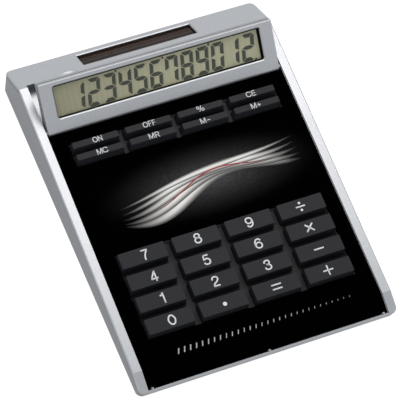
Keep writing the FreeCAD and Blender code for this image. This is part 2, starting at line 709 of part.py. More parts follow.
def display_outline():
    """Whole display in its own frame: a slab with a rounded hinge edge and softened outer edges."""
    face, back = HINGE_DEPTH, HINGE_DEPTH - DISPLAY_THICKNESS
    x = -DISPLAY_WIDTH / 2
    turn = HINGE_DEPTH * math.sqrt(0.5)
    ring = [Part.LineSegment(V(x, 0, face), V(x, DISPLAY_REACH, face)),
            Part.LineSegment(V(x, DISPLAY_REACH, face), V(x, DISPLAY_REACH, back)),
            Part.LineSegment(V(x, DISPLAY_REACH, back), V(x, -HINGE_DEPTH, back)),
            Part.LineSegment(V(x, -HINGE_DEPTH, back), V(x, -HINGE_DEPTH, 0)),
            Part.Arc(V(x, -HINGE_DEPTH, 0), V(x, -turn, turn), V(x, 0, face))]
    slab = Part.Face(Part.Wire([edge.toShape() for edge in ring])).extrude(V(DISPLAY_WIDTH, 0, 0))
    outer = [edge for edge in slab.Edges if edge.BoundBox.ZLength < SLIP
             and edge.BoundBox.YMax > DISPLAY_REACH - SLIP]
    return slab.makeFillet(DISPLAY_ROUND, outer)


def display_split(z):
    """Slice of the display's frame between two heights."""
    return box(both(CASE_WIDTH), both(2 * DISPLAY_REACH), z)


def display_cavity():
    """Room inside the display for its window and glass."""
    x = both(DISPLAY_WIDTH / 2 - DISPLAY_WALL)
    floor = HINGE_DEPTH - DISPLAY_FACE - WINDOW_SHEET - GLASS
    return box(x, (0, DISPLAY_REACH - DISPLAY_WALL), (floor, HINGE_DEPTH - DISPLAY_FACE))


def window_block(ledge, z, radius=None):
    """Block over the display's window."""
    x = both(WINDOW_WIDTH / 2 + ledge)
    y = (WINDOW_LOW - ledge, WINDOW_LOW + WINDOW_HEIGHT + ledge)
    return rounded_box(x, y, z, radius) if radius else box(x, y, z)


def make_display_bezel():
    """Front shell of the display, with the window opening and the hinge stubs."""
    split = HINGE_DEPTH - BEZEL_DEPTH
    shell = display_outline().common(display_split((split, MARGIN)))
    shell = shell.cut([display_cavity(), window_block(0, both(MARGIN), WINDOW_CORNER)])
    near_window = window_block(SLIP, around(HINGE_DEPTH, SLIP)).BoundBox
    shell = shell.makeChamfer(WINDOW_CHAMFER, [e for e in shell.Edges if near_window.isInside(e.BoundBox)])
    side, tip = DISPLAY_WIDTH / 2, DISPLAY_WIDTH / 2 + STUB_LENGTH
    stubs = [cross_cylinder(STUB_RADIUS, (side, tip), 0, 0), cross_cylinder(STUB_RADIUS, (-tip, -side), 0, 0)]
    return placed(joined([shell] + stubs), DISPLAY)


def make_display_back():
    """Rear shell of the display, with a slot for the ribbon."""
    split = HINGE_DEPTH - BEZEL_DEPTH
    outline = display_outline()
    stepped = outline.common(display_split((-MARGIN * 2, split - GROOVE_WIDTH)))
    neck = outline.common(display_split((-MARGIN, split)))
    neck = neck.common(box(both(DISPLAY_WIDTH / 2 - GROOVE_DEPTH), (-MARGIN, DISPLAY_REACH - GROOVE_DEPTH),
                           both(MARGIN)))
    slot = box(both(RIBBON_WIDTH / 2 + RIBBON_PLAY), (0, RIBBON_SLOT), (-MARGIN, 0))
    return placed(joined([stepped, neck]).cut([display_cavity(), slot]), DISPLAY)


def make_display_window():
    """Clear sheet behind the bezel."""
    top = HINGE_DEPTH - DISPLAY_FACE
    return placed(window_block(WINDOW_LEDGE, (top - WINDOW_SHEET, top)), DISPLAY)


def glass_limits():
    """Lower and upper edge of the display glass, in the display's frame."""
    return WINDOW_LOW - GLASS_FOOT, WINDOW_LOW + WINDOW_HEIGHT + WINDOW_LEDGE


def make_lcd_glass():
    """Liquid crystal glass behind the window."""
    top = HINGE_DEPTH - DISPLAY_FACE - WINDOW_SHEET
    return placed(box(both(WINDOW_WIDTH / 2 + GLASS_FOOT), glass_limits(), (top - GLASS, top)), DISPLAY)


def make_lcd_ribbon():
    """Flat cable from the glass, through the hinge slots, to the board."""
    display = turned_frame(DISPLAY_TILT, HINGE_Y, -HINGE_DEPTH)
    level = HINGE_DEPTH - DISPLAY_FACE - WINDOW_SHEET - GLASS / 2
    under = -TRAY_DEPTH - TRAY_WALL - RIBBON_PLAY
    path = [display.multVec(V(0, glass_limits()[0], level)), display.multVec(V(0, RIBBON_SLOT / 2, level)),
            display.multVec(V(0, RIBBON_SLOT / 2, -DISPLAY_THICKNESS)),
            V(0, RIBBON_Y, -TRAY_DEPTH), V(0, RIBBON_Y, under),
            V(0, TRAY_FRONT - 2 * TRAY_WALL, under),
            V(0, board_limits()[1] - RIBBON_SLOT, -BOARD_BOTTOM - RIBBON)]
    return placed(strip(path, RIBBON, both(RIBBON_WIDTH / 2)), PANEL)


PIECES = {
    "lower_case": make_lower_case,
    "upper_case": make_upper_case,
    "clear_cover": make_cover,
    "insert_card": make_card,
    "main_board": make_board,
    "chip": make_chip,
    "button_cell": make_button_cell,
    "battery_clip": make_battery_clip,
    "battery_door": make_battery_door,
    "door_screw": make_door_screw,
    "board_screws": make_board_screws,
    "case_screws": make_case_screws,
    "rubber_feet": make_feet,
    "solar_window": make_solar_window,
    "solar_cell": make_solar_cell,
    "solar_leads": make_solar_leads,
    "display_bezel": make_display_bezel,
    "display_back": make_display_back,
    "display_window": make_display_window,
    "lcd_glass": make_lcd_glass,
    "lcd_ribbon": make_lcd_ribbon,
}


def save(name, shape):
    """One STEP file for one piece."""
    solids = shape.Solids
    piece = solids[0] if len(solids) == 1 else Part.makeCompound(solids)
    piece.exportStep(os.path.join("parts", name + ".step"))
    print(name, len(solids), "solids, valid" if piece.isValid() else "solids, not valid")


def main():
    os.makedirs("parts", exist_ok=True)
    for name, make in PIECES.items():
        save(name, make())
    for label, block in (("number", NUMBERS), ("function", FUNCTIONS)):
        save(label + "_key_frame", make_key_frame(block))
        save(label + "_key_mat", make_key_mat(block))
        for name, x, y in block.places():
            save("key_" + name, make_key(block, x, y))


main()
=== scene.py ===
import json
import math

import bmesh
import bpy
from bpy.props import FloatProperty, FloatVectorProperty, IntProperty, PointerProperty, StringProperty
from mathutils import Matrix, Vector


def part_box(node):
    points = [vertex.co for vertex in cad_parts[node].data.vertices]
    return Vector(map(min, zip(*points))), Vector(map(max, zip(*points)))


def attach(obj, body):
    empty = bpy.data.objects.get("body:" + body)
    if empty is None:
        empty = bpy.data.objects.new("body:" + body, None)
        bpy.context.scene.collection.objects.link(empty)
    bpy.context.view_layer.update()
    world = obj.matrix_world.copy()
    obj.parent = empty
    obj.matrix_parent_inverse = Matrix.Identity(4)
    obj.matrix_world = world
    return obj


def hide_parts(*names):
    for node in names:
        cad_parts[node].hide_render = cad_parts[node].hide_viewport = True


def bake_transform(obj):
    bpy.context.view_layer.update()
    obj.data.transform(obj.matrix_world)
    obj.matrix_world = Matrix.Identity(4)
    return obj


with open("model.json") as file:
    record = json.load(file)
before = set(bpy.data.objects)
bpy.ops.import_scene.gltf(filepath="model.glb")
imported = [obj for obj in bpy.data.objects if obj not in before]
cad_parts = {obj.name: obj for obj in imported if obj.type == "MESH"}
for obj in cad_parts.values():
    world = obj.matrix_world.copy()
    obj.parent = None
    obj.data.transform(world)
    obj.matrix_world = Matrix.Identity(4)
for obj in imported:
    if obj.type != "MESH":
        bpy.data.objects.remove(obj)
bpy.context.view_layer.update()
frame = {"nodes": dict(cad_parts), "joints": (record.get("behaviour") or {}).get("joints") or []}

bl_info = {
    "name": "Desk calculator",
    "version": (1, 0, 0),
    "blender": (4, 5, 0),
    "location": "3D View > Sidebar > Calculator",
    "description": "Finishes the packed desk calculator and sets it on a studio floor",
    "category": "Object",
}

MM = 0.001
NODES = frame["nodes"]
JOINTS = {joint["name"]: joint for joint in frame["joints"]}

# The keys are pressed straight into the panel, so their travel gives the panel's slope. The display
# stands open by the whole range of its hinge.
PRESS = Vector(JOINTS["key_5_press"]["axis"])
TILT = JOINTS["display_tilt"]
PANEL_SLOPE = math.atan2(PRESS.y, -PRESS.z)
DISPLAY_SLOPE = PANEL_SLOPE - math.radians(TILT["range_deg"][0])
PANEL = Matrix.Rotation(PANEL_SLOPE, 4, "X")
DISPLAY = Matrix.Translation(TILT["pos_m"]) @ Matrix.Rotation(DISPLAY_SLOPE, 4, "X")
# The frame of a shape that is already where it belongs.
IN_PLACE = Matrix.Identity(4)

# Points closer than WELD are one point, and heights closer than LEVEL are one height.
WELD, LEVEL = MM / 1000.0, MM / 100.0
# Edges of a clear sheet, a foot and a key that are sharper than these angles stay crisp.
SHEET_CREASE, FOOT_CREASE, KEY_CREASE = math.radians(20.0), math.radians(40.0), math.radians(28.0)

NUMBER_LEGENDS = {
    "key_0": "0", "key_1": "1", "key_2": "2", "key_3": "3", "key_4": "4",
    "key_5": "5", "key_6": "6", "key_7": "7", "key_8": "8", "key_9": "9",
    "key_point": ".", "key_equals": "=", "key_plus": "p", "key_minus": "m",
    "key_times": "x", "key_divide": "/",
}
FUNCTION_LEGENDS = {
    "key_on": "ON", "key_off": "OFF", "key_percent": "%", "key_ce": "CE",
    "key_mc": "MC", "key_mr": "MR", "key_m_minus": "M-", "key_m_plus": "M+",
}

# Strokes of the printed characters, as points of the stroke's middle line. The unit is the height of a
# capital and x is measured from the character's middle. A line is straight, a curve is smooth through
# its points and a loop is a closed curve.
SIX = [
    (0.258, 0.73), (0.179, 0.87), (0.011, 0.925), (-0.202, 0.80), (-0.286, 0.48), (-0.213, 0.17),
    (0.0, 0.075), (0.213, 0.15), (0.286, 0.335), (0.202, 0.52), (0.011, 0.60), (-0.179, 0.52),
    (-0.274, 0.37),
]
STROKES = {
    "0": [("loop", [(-0.28, 0.36), (-0.28, 0.64), (0.0, 0.925), (0.28, 0.64), (0.28, 0.36), (0.0, 0.075)])],
    "1": [("line", [(0.09, 0.0), (0.09, 1.0)]),
          ("curve", [(-0.202, 0.745), (-0.034, 0.795), (0.067, 0.95)])],
    "2": [("curve", [(-0.258, 0.66), (-0.19, 0.86), (0.011, 0.925), (0.213, 0.85), (0.258, 0.69),
                     (0.134, 0.49), (-0.134, 0.30), (-0.263, 0.08)]),
          ("line", [(-0.302, 0.075), (0.297, 0.075)])],
    "3": [("curve", [(-0.246, 0.70), (-0.168, 0.87), (0.0, 0.925), (0.19, 0.86), (0.235, 0.72),
                     (0.134, 0.58), (-0.078, 0.535)]),
          ("curve", [(-0.078, 0.535), (0.168, 0.49), (0.28, 0.30), (0.202, 0.13), (0.0, 0.075),
                     (-0.202, 0.14), (-0.28, 0.31)])],
    "4": [("line", [(0.123, 0.0), (0.123, 1.0)]),
          ("line", [(0.101, 0.94), (-0.28, 0.29)]),
          ("line", [(-0.325, 0.27), (0.325, 0.27)])],
    "5": [("line", [(-0.213, 0.925), (0.258, 0.925)]),
          ("line", [(-0.185, 0.96), (-0.241, 0.47)]),
          ("curve", [(-0.23, 0.50), (-0.022, 0.605), (0.19, 0.53), (0.28, 0.34), (0.202, 0.14),
                     (0.0, 0.075), (-0.19, 0.13), (-0.274, 0.28)])],
    "6": [("curve", SIX)],
    "7": [("line", [(-0.302, 0.925), (0.297, 0.925)]),
          ("curve", [(0.263, 0.90), (0.067, 0.62), (-0.056, 0.32), (-0.095, 0.0)])],
    "8": [("loop", [(-0.23, 0.735), (0.0, 0.925), (0.23, 0.735), (0.0, 0.545)]),
          ("loop", [(-0.28, 0.31), (0.0, 0.545), (0.28, 0.31), (0.0, 0.075)])],
    "9": [("curve", [(-x, 1.0 - y) for x, y in SIX])],
    ".": [],
    "=": [("line", [(-0.46, 0.69), (0.46, 0.69)]),
          ("line", [(-0.46, 0.29), (0.46, 0.29)])],
    "p": [("line", [(-0.48, 0.5), (0.48, 0.5)]),
          ("line", [(0.0, 0.02), (0.0, 0.98)])],
    "m": [("line", [(-0.47, 0.5), (0.47, 0.5)])],
    "x": [("line", [(-0.36, 0.14), (0.36, 0.86)]),
          ("line", [(-0.36, 0.86), (0.36, 0.14)])],
    "/": [("line", [(-0.45, 0.5), (0.45, 0.5)])],
    "O": [("loop", [(-0.35, 0.5), (-0.24, 0.82), (0.0, 0.91), (0.24, 0.82), (0.35, 0.5), (0.24, 0.18),
                    (0.0, 0.09), (-0.24, 0.18)])],
    "N": [("line", [(-0.28, 0.0), (-0.28, 1.0)]),
          ("line", [(0.28, 0.0), (0.28, 1.0)]),
          ("line", [(-0.28, 0.96), (0.28, 0.04)])],
    "F": [("line", [(-0.2, 0.0), (-0.2, 1.0)]),
          ("line", [(-0.2, 0.91), (0.26, 0.91)]),
          ("line", [(-0.2, 0.5), (0.2, 0.5)])],
    "E": [("line", [(-0.26, 0.0), (-0.26, 1.0)]),
          ("line", [(-0.26, 0.91), (0.33, 0.91)]),
          ("line", [(-0.26, 0.51), (0.29, 0.51)]),
          ("line", [(-0.26, 0.09), (0.34, 0.09)])],
    "C": [("curve", [(0.37, 0.68), (0.27, 0.84), (0.0, 0.91), (-0.28, 0.82), (-0.39, 0.5), (-0.28, 0.18),
                     (0.0, 0.09), (0.27, 0.16), (0.38, 0.34)])],
    "M": [("line", [(-0.39, 0.0), (-0.39, 1.0)]),
          ("line", [(0.39, 0.0), (0.39, 1.0)]),
          ("line", [(-0.36, 0.98), (0.0, 0.03)]),
          ("line", [(0.36, 0.98), (0.0, 0.03)])],
    "R": [("line", [(-0.28, 0.0), (-0.28, 1.0)]),
          ("curve", [(-0.28, 0.91), (0.12, 0.905), (0.3, 0.70), (0.12, 0.475), (-0.28, 0.46)]),
          ("line", [(0.05, 0.46), (0.32, 0.0)])],
    "%": [("loop", [(-0.56, 0.72), (-0.37, 0.93), (-0.18, 0.72), (-0.37, 0.51)]),
          ("loop", [(0.18, 0.28), (0.37, 0.49), (0.56, 0.28), (0.37, 0.07)]),
          ("line", [(-0.24, 0.0), (0.24, 1.0)])],
    "-": [("line", [(-0.27, 0.4), (0.27, 0.4)])],
    "+": [("line", [(-0.3, 0.43), (0.3, 0.43)]),
          ("line", [(0.0, 0.13), (0.0, 0.73)])],
}
# Room along a word that each character takes.
CHARACTER_WIDTHS = {
    "O": 0.9, "N": 0.8, "F": 0.66, "C": 0.9, "E": 0.8, "M": 1.06, "R": 0.86, "-": 0.76, "+": 0.78,
}
# These marks are drawn heavier than the rest, as a share of the stroke.
HEAVY_MARKS = {"x": 1.1}
# Round dots of the marks, each as its middle and its radius.
DOTS = {".": [(0.0, 0.42, 0.186)], "/": [(0.0, 0.85, 0.115), (0.0, 0.15, 0.115)]}
# Lit segments of each figure on the display, by the usual letters: from the top bar clockwise, then the
# middle bar.
LIT = {
    "0": "abcdef", "1": "bc", "2": "abdeg", "3": "abcdg", "4": "bcfg",
    "5": "acdfg", "6": "acdefg", "7": "abcf", "8": "abcdefg", "9": "abcdfg",
}


def linear(code):
    """A colour given as an sRGB hex value, as linear light."""
    shares = [int(code[at:at + 2], 16) / 255 for at in (1, 3, 5)]
    return [s / 12.92 if s <= 0.04045 else ((s + 0.055) / 1.055) ** 2.4 for s in shares]


def opaque(colour):
    """A colour with full alpha, as a shader's socket takes it."""
    return (*colour, 1.0)


def socket_colour(code):
    """A colour given as an sRGB hex value, as a shader's socket takes it."""
    return opaque(linear(code))


def per(size):
    """The scale of a pattern on Object coordinates whose features are this many millimetres apart."""
    return 1.0 / (size * MM)


def colour_setting(name, description, code):
    """A colour that a user may change. Its default is an sRGB hex value."""
    return FloatVectorProperty(
        name=name, description=description, subtype="COLOR", min=0.0, max=1.0, default=linear(code))


def length_setting(name, description, millimetres):
    """A length that a user may change. Its default is given in millimetres."""
    return FloatProperty(name=name, description=description, unit="LENGTH", default=millimetres * MM)


def lengths_setting(name, description, *millimetres):
    """Lengths that a user may change together. Their defaults are given in millimetres."""
    return FloatVectorProperty(
        name=name, description=description, size=len(millimetres), unit="LENGTH",
        default=[length * MM for length in millimetres])


class CalculatorLook(bpy.types.PropertyGroup):
    """Sizes and colours of the calculator's finish."""

    lacquer: colour_setting("Lacquer", "Silver of the case and the display", "#94979b")
    # A darker copy of the lacquer, as painted shade on the walls of the lower case.
    shaded_lower_lacquer: colour_setting("Lower lacquer", "Silver of the lower case", "#85888d")
    key_colour: colour_setting("Keys", "Plastic of the keys", "#1b1c20")
    # Dark plastic of the key frames, darkened further to paint the shade in the gaps between the key rows.
    frame_and_shade_colour: colour_setting("Key frames", "Plastic round the keys", "#0a0a0b")
    legend_colour: colour_setting("Legends", "Ink of the characters on the keys", "#b0b2b4")
    card_colour: colour_setting("Card", "Ground of the printed card", "#010101")
    ribbon_colour: colour_setting("Ribbons", "Silver ink of the ribbons on the card", "#c4c4c2")
    accent_colour: colour_setting("Accent", "Red ink of the thin line on the card", "#8c1d1c")
    dash_colour: colour_setting("Dashes", "Grey ink of the dashes on the card", "#8c8c8e")
    crystal_colour: colour_setting("Display", "Ground of the liquid crystal display", "#918f79")
    figure_colour: colour_setting("Figures", "Lit segments of the display", "#393d37")
    figures: StringProperty(
        name="Reading", description="Figures that the display shows", default="123456789012")
    figure_height: length_setting("Figure height", "Height of a figure on the display", 11.2)
    figure_pitch: length_setting("Figure pitch", "Distance between figures on the display", 6.41)
    key_corner: length_setting("Key corner", "Radius of a key's upright edges", 0.35)
    key_wall: length_setting("Key wall", "Wall of a key round its hollow", 0.6)
    key_hollow: length_setting("Key hollow", "How far a key is hollow from below", 0.9)
    key_edge: length_setting("Key edge", "Radius round the top of a key", 0.17)
    number_height: length_setting("Number height", "Height of the characters on the large keys", 4.3)
    function_height: length_setting("Function height", "Height of the characters on the small keys", 2.4)
    foot_edge: length_setting("Foot edge", "Radius round the sole of a rubber foot", 0.4)


class CalculatorStage(bpy.types.PropertyGroup):
    """The studio floor, the lights and the camera."""

    floor_colour: colour_setting("Floor", "Colour of the studio floor", "#707070")
    floor_size: FloatProperty(
        name="Floor size", description="Side of the studio floor", unit="LENGTH", default=6.0)
    glow: FloatProperty(
        name="Glow", description="Light that comes up through the floor", default=0.92, min=0.0)
    front_wall: FloatProperty(
        name="Front wall", description="Brightness of the room in front of the calculator", default=1.46,
        min=0.0)
    rear_wall: FloatProperty(
        name="Rear wall", description="Brightness of the room behind the calculator", default=2.25, min=0.0)
    left_wall: FloatProperty(
        name="Left wall", description="Brightness of the room to the left as a share of the right",
        default=0.8, min=0.0)
    ceiling: FloatProperty(
        name="Ceiling", description="Brightness of the ceiling as a share of the walls", default=0.63,
        min=0.0)
    overhead: FloatProperty(
        name="Overhead light", description="Power of the soft light above the rear", unit="POWER",
        default=0.82, min=0.0)
    overhead_colour: colour_setting("Overhead colour", "Colour of the soft light above the rear", "#fff9f4")
    overhead_place: FloatVectorProperty(
        name="Overhead place", description="Where the soft light above the rear hangs",
        subtype="TRANSLATION", unit="LENGTH", default=(0.10, 0.168, 0.37))
    overhead_size: FloatVectorProperty(
        name="Overhead size", description="Width and depth of the soft light above the rear", size=2,
        unit="LENGTH", default=(0.32, 0.22))
    fill: FloatProperty(
        name="Fill light", description="Power of the soft light beside the camera", unit="POWER",
        default=0.3, min=0.0)
    fill_place: FloatVectorProperty(
        name="Fill place", description="Where the soft light beside the camera hangs",
        subtype="TRANSLATION", unit="LENGTH", default=(-0.2, -0.32, 0.68))
    fill_size: FloatVectorProperty(
        name="Fill size", description="Width and depth of the soft light beside the camera", size=2,
        unit="LENGTH", default=(0.25, 0.25))
    eye: FloatVectorProperty(
        name="Camera", description="Where the camera stands", subtype="TRANSLATION", unit="LENGTH",
        default=(-0.26750, -0.412514, 0.834803))
    aim: FloatVectorProperty(
        name="Aim", description="The point in the middle of the picture", subtype="TRANSLATION",
        unit="LENGTH", default=(-0.002264, -0.005959, 0.012))
    roll: FloatProperty(
        name="Roll", description="Turn of the camera about its own line of sight", subtype="ANGLE",
        default=math.radians(12.367))
    lens: FloatProperty(
        name="Lens", description="Focal length of the camera in millimetres", default=226.8)


def corners(points):
    """Lowest and highest corner of a box round points."""
    return Vector(map(min, *points)), Vector(map(max, *points))


def extent(name, turned):
    """Lowest and highest corner of a node, measured in a turned frame."""
    back = turned.inverted()
    return corners([back @ vertex.co for vertex in NODES[name].data.vertices])


def key_levels(name):
    """The rectangles that a key is drawn through, from its foot up, as lowest and highest corners."""
    back = PANEL.inverted()
    levels = {}
    for vertex in NODES[name].data.vertices:
        point = back @ vertex.co
        levels.setdefault(round(point.z, 5), []).append(point)
    return [corners(levels[z]) for z in sorted(levels)]


def node_copy(name):
    """The shape of a CAD node with its flat faces whole, for a piece that stands for it."""
    bm = bmesh.new()
    bm.from_mesh(NODES[name].data)
    bmesh.ops.remove_doubles(bm, verts=bm.verts, dist=WELD)
    bmesh.ops.dissolve_limit(bm, angle_limit=math.radians(1.0), verts=bm.verts, edges=bm.edges)
    return bm


def shaped(name, bm, place, smooth=None):
    """The mesh of a finished shape, put in its place. Edges sharper than the smooth angle stay crisp."""
    bm.transform(place)
    mesh = bpy.data.meshes.new(name)
    bm.to_mesh(mesh)
    bm.free()
    if smooth is not None:
        mesh.polygons.foreach_set("use_smooth", [True] * len(mesh.polygons))
        mesh.set_sharp_from_angle(angle=smooth)
    return mesh


def new_piece(name, bm, place, body, material, smooth=None):
    """An object made of a finished shape. It rides on a body when one is given."""
    piece = bpy.data.objects.new(name, shaped(name, bm, place, smooth))
    bpy.context.scene.collection.objects.link(piece)
    piece.data.materials.append(material)
    if body is not None:
        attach(piece, body)
    return piece


def dress(material, *names):
    """Puts a material on CAD nodes."""
    for name in names:
        NODES[name].data.materials.clear()
        NODES[name].data.materials.append(material)


def new_material(name):
    """An empty material, its node tree and the coordinates of what it is on."""
    material = bpy.data.materials.new(name)
    material.use_nodes = True
    tree = material.node_tree
    tree.nodes.clear()
    place = add_node(tree, "ShaderNodeTexCoord", {}, {}).outputs
    return material, tree, place


def add_node(tree, kind, settings, inputs):
    """Adds a node with its settings. An input is a value or the output that feeds it."""
    node = tree.nodes.new(kind)
    for name, value in settings.items():
        setattr(node, name, value)
    for name, value in inputs.items():
        if isinstance(value, bpy.types.NodeSocket):
            tree.links.new(value, node.inputs[name])
        else:
            node.inputs[name].default_value = value
    return node


def closed(material, shader):
    """The material with its node tree ended in a shader."""
    add_node(material.node_tree, "ShaderNodeOutputMaterial", {}, {"Surface": shader.outputs[0]})
    return material


# Settings of a node that mixes colours, tints a colour with a level, multiplies numbers or eases a range.
MIXES = {"data_type": "RGBA"}
TINTED = {"data_type": "RGBA", "blend_type": "MULTIPLY"}
TIMES = {"operation": "MULTIPLY"}
EASED = {"interpolation_type": "SMOOTHSTEP"}
# Sockets of the Mix node when it mixes colours.
MIX_A, MIX_B, MIXED = 6, 7, 2


def silver_lacquer(name, colour):
    """Silver metallic lacquer on moulded ABS: fine flakes with a broad shine, darker at a slant."""
    material, tree, place = new_material(name)
    # Real flakes are a few hundredths of a millimetre; they are drawn coarse enough to show.
    flakes = add_node(tree, "ShaderNodeTexNoise", {}, {
        "Vector": place["Object"], "Scale": per(0.35), "Detail": 3.0, "Roughness": 0.65})
    flow = add_node(tree, "ShaderNodeTexNoise", {}, {
        "Vector": place["Object"], "Scale": per(30.0), "Detail": 2.0})
    grain = add_node(tree, "ShaderNodeMapRange", {}, {
        "Value": flakes.outputs["Fac"], "From Min": 0.25, "From Max": 0.75, "To Min": 0.86, "To Max": 1.1})
    silver = add_node(tree, "ShaderNodeMix", TINTED, {
        "Factor": 1.0, MIX_A: opaque(colour), MIX_B: grain.outputs["Result"]})
    satin = add_node(tree, "ShaderNodeMapRange", {}, {
        "Value": flow.outputs["Fac"], "To Min": 0.28, "To Max": 0.38})
    # Moulded edges are never knife sharp.
    edges = add_node(tree, "ShaderNodeBevel", {"samples": 6}, {"Radius": 0.12 * MM})
    film = add_node(tree, "ShaderNodeBump", {}, {
        "Height": flakes.outputs["Fac"], "Strength": 0.12, "Distance": 0.03 * MM,
        "Normal": edges.outputs["Normal"]})
    shader = add_node(tree, "ShaderNodeBsdfPrincipled", {}, {
        "Base Color": silver.outputs[MIXED], "Roughness": satin.outputs["Result"],
        "Normal": film.outputs["Normal"], "Metallic": 0.7, "IOR": 1.5,
        "Specular Tint": socket_colour("#acacac")})
    return closed(material, shader)


def clear_acrylic(name, shade):
    """Cast acrylic sheet: clear from above, faintly mirroring the room at a slant, with wiping marks."""
    material, tree, place = new_material(name)
    marks = add_node(tree, "ShaderNodeTexNoise", {}, {
        "Vector": place["Object"], "Scale": per(14.0), "Detail": 4.0})
    wiped = add_node(tree, "ShaderNodeMapRange", {}, {
        "Value": marks.outputs["Fac"], "To Min": 0.05, "To Max": 0.09})
    shine = add_node(tree, "ShaderNodeBsdfPrincipled", {}, {
        "Base Color": socket_colour(shade), "Specular Tint": socket_colour("#d9d9d9"), "Metallic": 1.0,
        "Roughness": wiped.outputs["Result"]})
    see = add_node(tree, "ShaderNodeBsdfTransparent", {}, {"Color": socket_colour("#fdfdfd")})
    slant = add_node(tree, "ShaderNodeLayerWeight", {}, {"Blend": 0.5})
    # The mirror only begins at a slant, so that what lies under the sheet stays dark from above.
    glance = add_node(tree, "ShaderNodeMath", {"operation": "POWER"}, {
        0: slant.outputs["Facing"], 1: 5.0})
    share = add_node(tree, "ShaderNodeMapRange", {}, {
        "Value": glance.outputs["Value"], "From Min": 0.11, "To Max": 0.5})
    both = add_node(tree, "ShaderNodeMixShader", {}, {
        0: share.outputs["Result"], 1: see.outputs["BSDF"], 2: shine.outputs["BSDF"]})
    return closed(material, both)


def printed_card(look, glow_at, glow_size):
    """Card under a full black print: even and matt, with a soft grey pool of light behind the ribbons."""
    material, tree, place = new_material("printed_card")
    centred = add_node(tree, "ShaderNodeMapping", {"vector_type": "TEXTURE"}, {
        "Vector": place["Object"], "Location": glow_at, "Scale": glow_size})
    pool = add_node(tree, "ShaderNodeTexGradient", {"gradient_type": "QUADRATIC_SPHERE"}, {
        "Vector": centred.outputs["Vector"]})
    # Print dots too fine to see, drawn as a fine mottle in the pool.
    dots = add_node(tree, "ShaderNodeTexNoise", {}, {
        "Vector": place["Object"], "Scale": per(0.9), "Detail": 4.0, "Roughness": 0.7})
    mottle = add_node(tree, "ShaderNodeMapRange", {}, {
        "Value": dots.outputs["Fac"], "From Min": 0.3, "From Max": 0.7, "To Min": 0.45, "To Max": 1.0})
    spread = add_node(tree, "ShaderNodeMath", TIMES, {
        0: pool.outputs["Fac"], 1: mottle.outputs["Result"]})
    ink = add_node(tree, "ShaderNodeMix", MIXES, {
        "Factor": spread.outputs["Value"], MIX_A: opaque(look.card_colour),
        MIX_B: socket_colour("#4a4a4c")})
    shader = add_node(tree, "ShaderNodeBsdfPrincipled", {}, {
        "Base Color": ink.outputs[MIXED], "Roughness": 0.6, "Specular IOR Level": 0.0})
    return closed(material, shader)


def ribbon_ink(name, colour, edge):
    """Ink laid down as a soft ribbon: bright along its middle, fading at its edges and towards its ends."""
    material, tree, place = new_material(name)
    axes = add_node(tree, "ShaderNodeSeparateXYZ", {}, {"Vector": place["UV"]})
    across = add_node(tree, "ShaderNodeMath", {"operation": "PINGPONG"}, {0: axes.outputs["Y"], 1: 0.5})
    along = add_node(tree, "ShaderNodeMath", {"operation": "PINGPONG"}, {0: axes.outputs["X"], 1: 0.5})
    swell = add_node(tree, "ShaderNodeMapRange", EASED, {
        "Value": across.outputs["Value"], "From Max": 0.5, "To Min": edge})
    fade = add_node(tree, "ShaderNodeMapRange", EASED, {
        "Value": along.outputs["Value"], "From Max": 0.32})
    tone = add_node(tree, "ShaderNodeMath", TIMES, {
        0: swell.outputs["Result"], 1: fade.outputs["Result"]})
    ink = add_node(tree, "ShaderNodeMix", MIXES, {
        "Factor": tone.outputs["Value"], MIX_A: socket_colour("#040405"), MIX_B: opaque(colour)})
    shader = add_node(tree, "ShaderNodeBsdfPrincipled", {}, {
        "Base Color": ink.outputs[MIXED], "Roughness": 0.55, "Specular IOR Level": 0.1})
    return closed(material, shader)


def moulded_plastic(name, colour, roughness, shine):
    """Plastic moulded in a spark eroded tool: a fine even texture that scatters the light."""
    material, tree, place = new_material(name)
    # The tool's texture is about a twentieth of a millimetre; it is drawn coarse enough to show.
    erosion = add_node(tree, "ShaderNodeTexNoise", {}, {
        "Vector": place["Object"], "Scale": per(0.3), "Detail": 2.0, "Roughness": 0.6})
    cast = add_node(tree, "ShaderNodeTexNoise", {}, {
        "Vector": place["Object"], "Scale": per(9.0), "Detail": 2.0})
    shade = add_node(tree, "ShaderNodeMapRange", {}, {
        "Value": erosion.outputs["Fac"], "From Min": 0.3, "From Max": 0.7, "To Min": 0.84, "To Max": 1.12})
    tint = add_node(tree, "ShaderNodeMix", TINTED, {
        "Factor": 1.0, MIX_A: opaque(colour), MIX_B: shade.outputs["Result"]})
    matt = add_node(tree, "ShaderNodeMapRange", {}, {
        "Value": cast.outputs["Fac"], "To Min": roughness - 0.06, "To Max": roughness + 0.06})
    skin = add_node(tree, "ShaderNodeBump", {}, {
        "Height": erosion.outputs["Fac"], "Strength": 0.25, "Distance": 0.04 * MM})
    shader = add_node(tree, "ShaderNodeBsdfPrincipled", {}, {
        "Base Color": tint.outputs[MIXED], "Roughness": matt.outputs["Result"],
        "Normal": skin.outputs["Normal"], "IOR": 1.54, "Specular IOR Level": shine})
    return closed(material, shader)


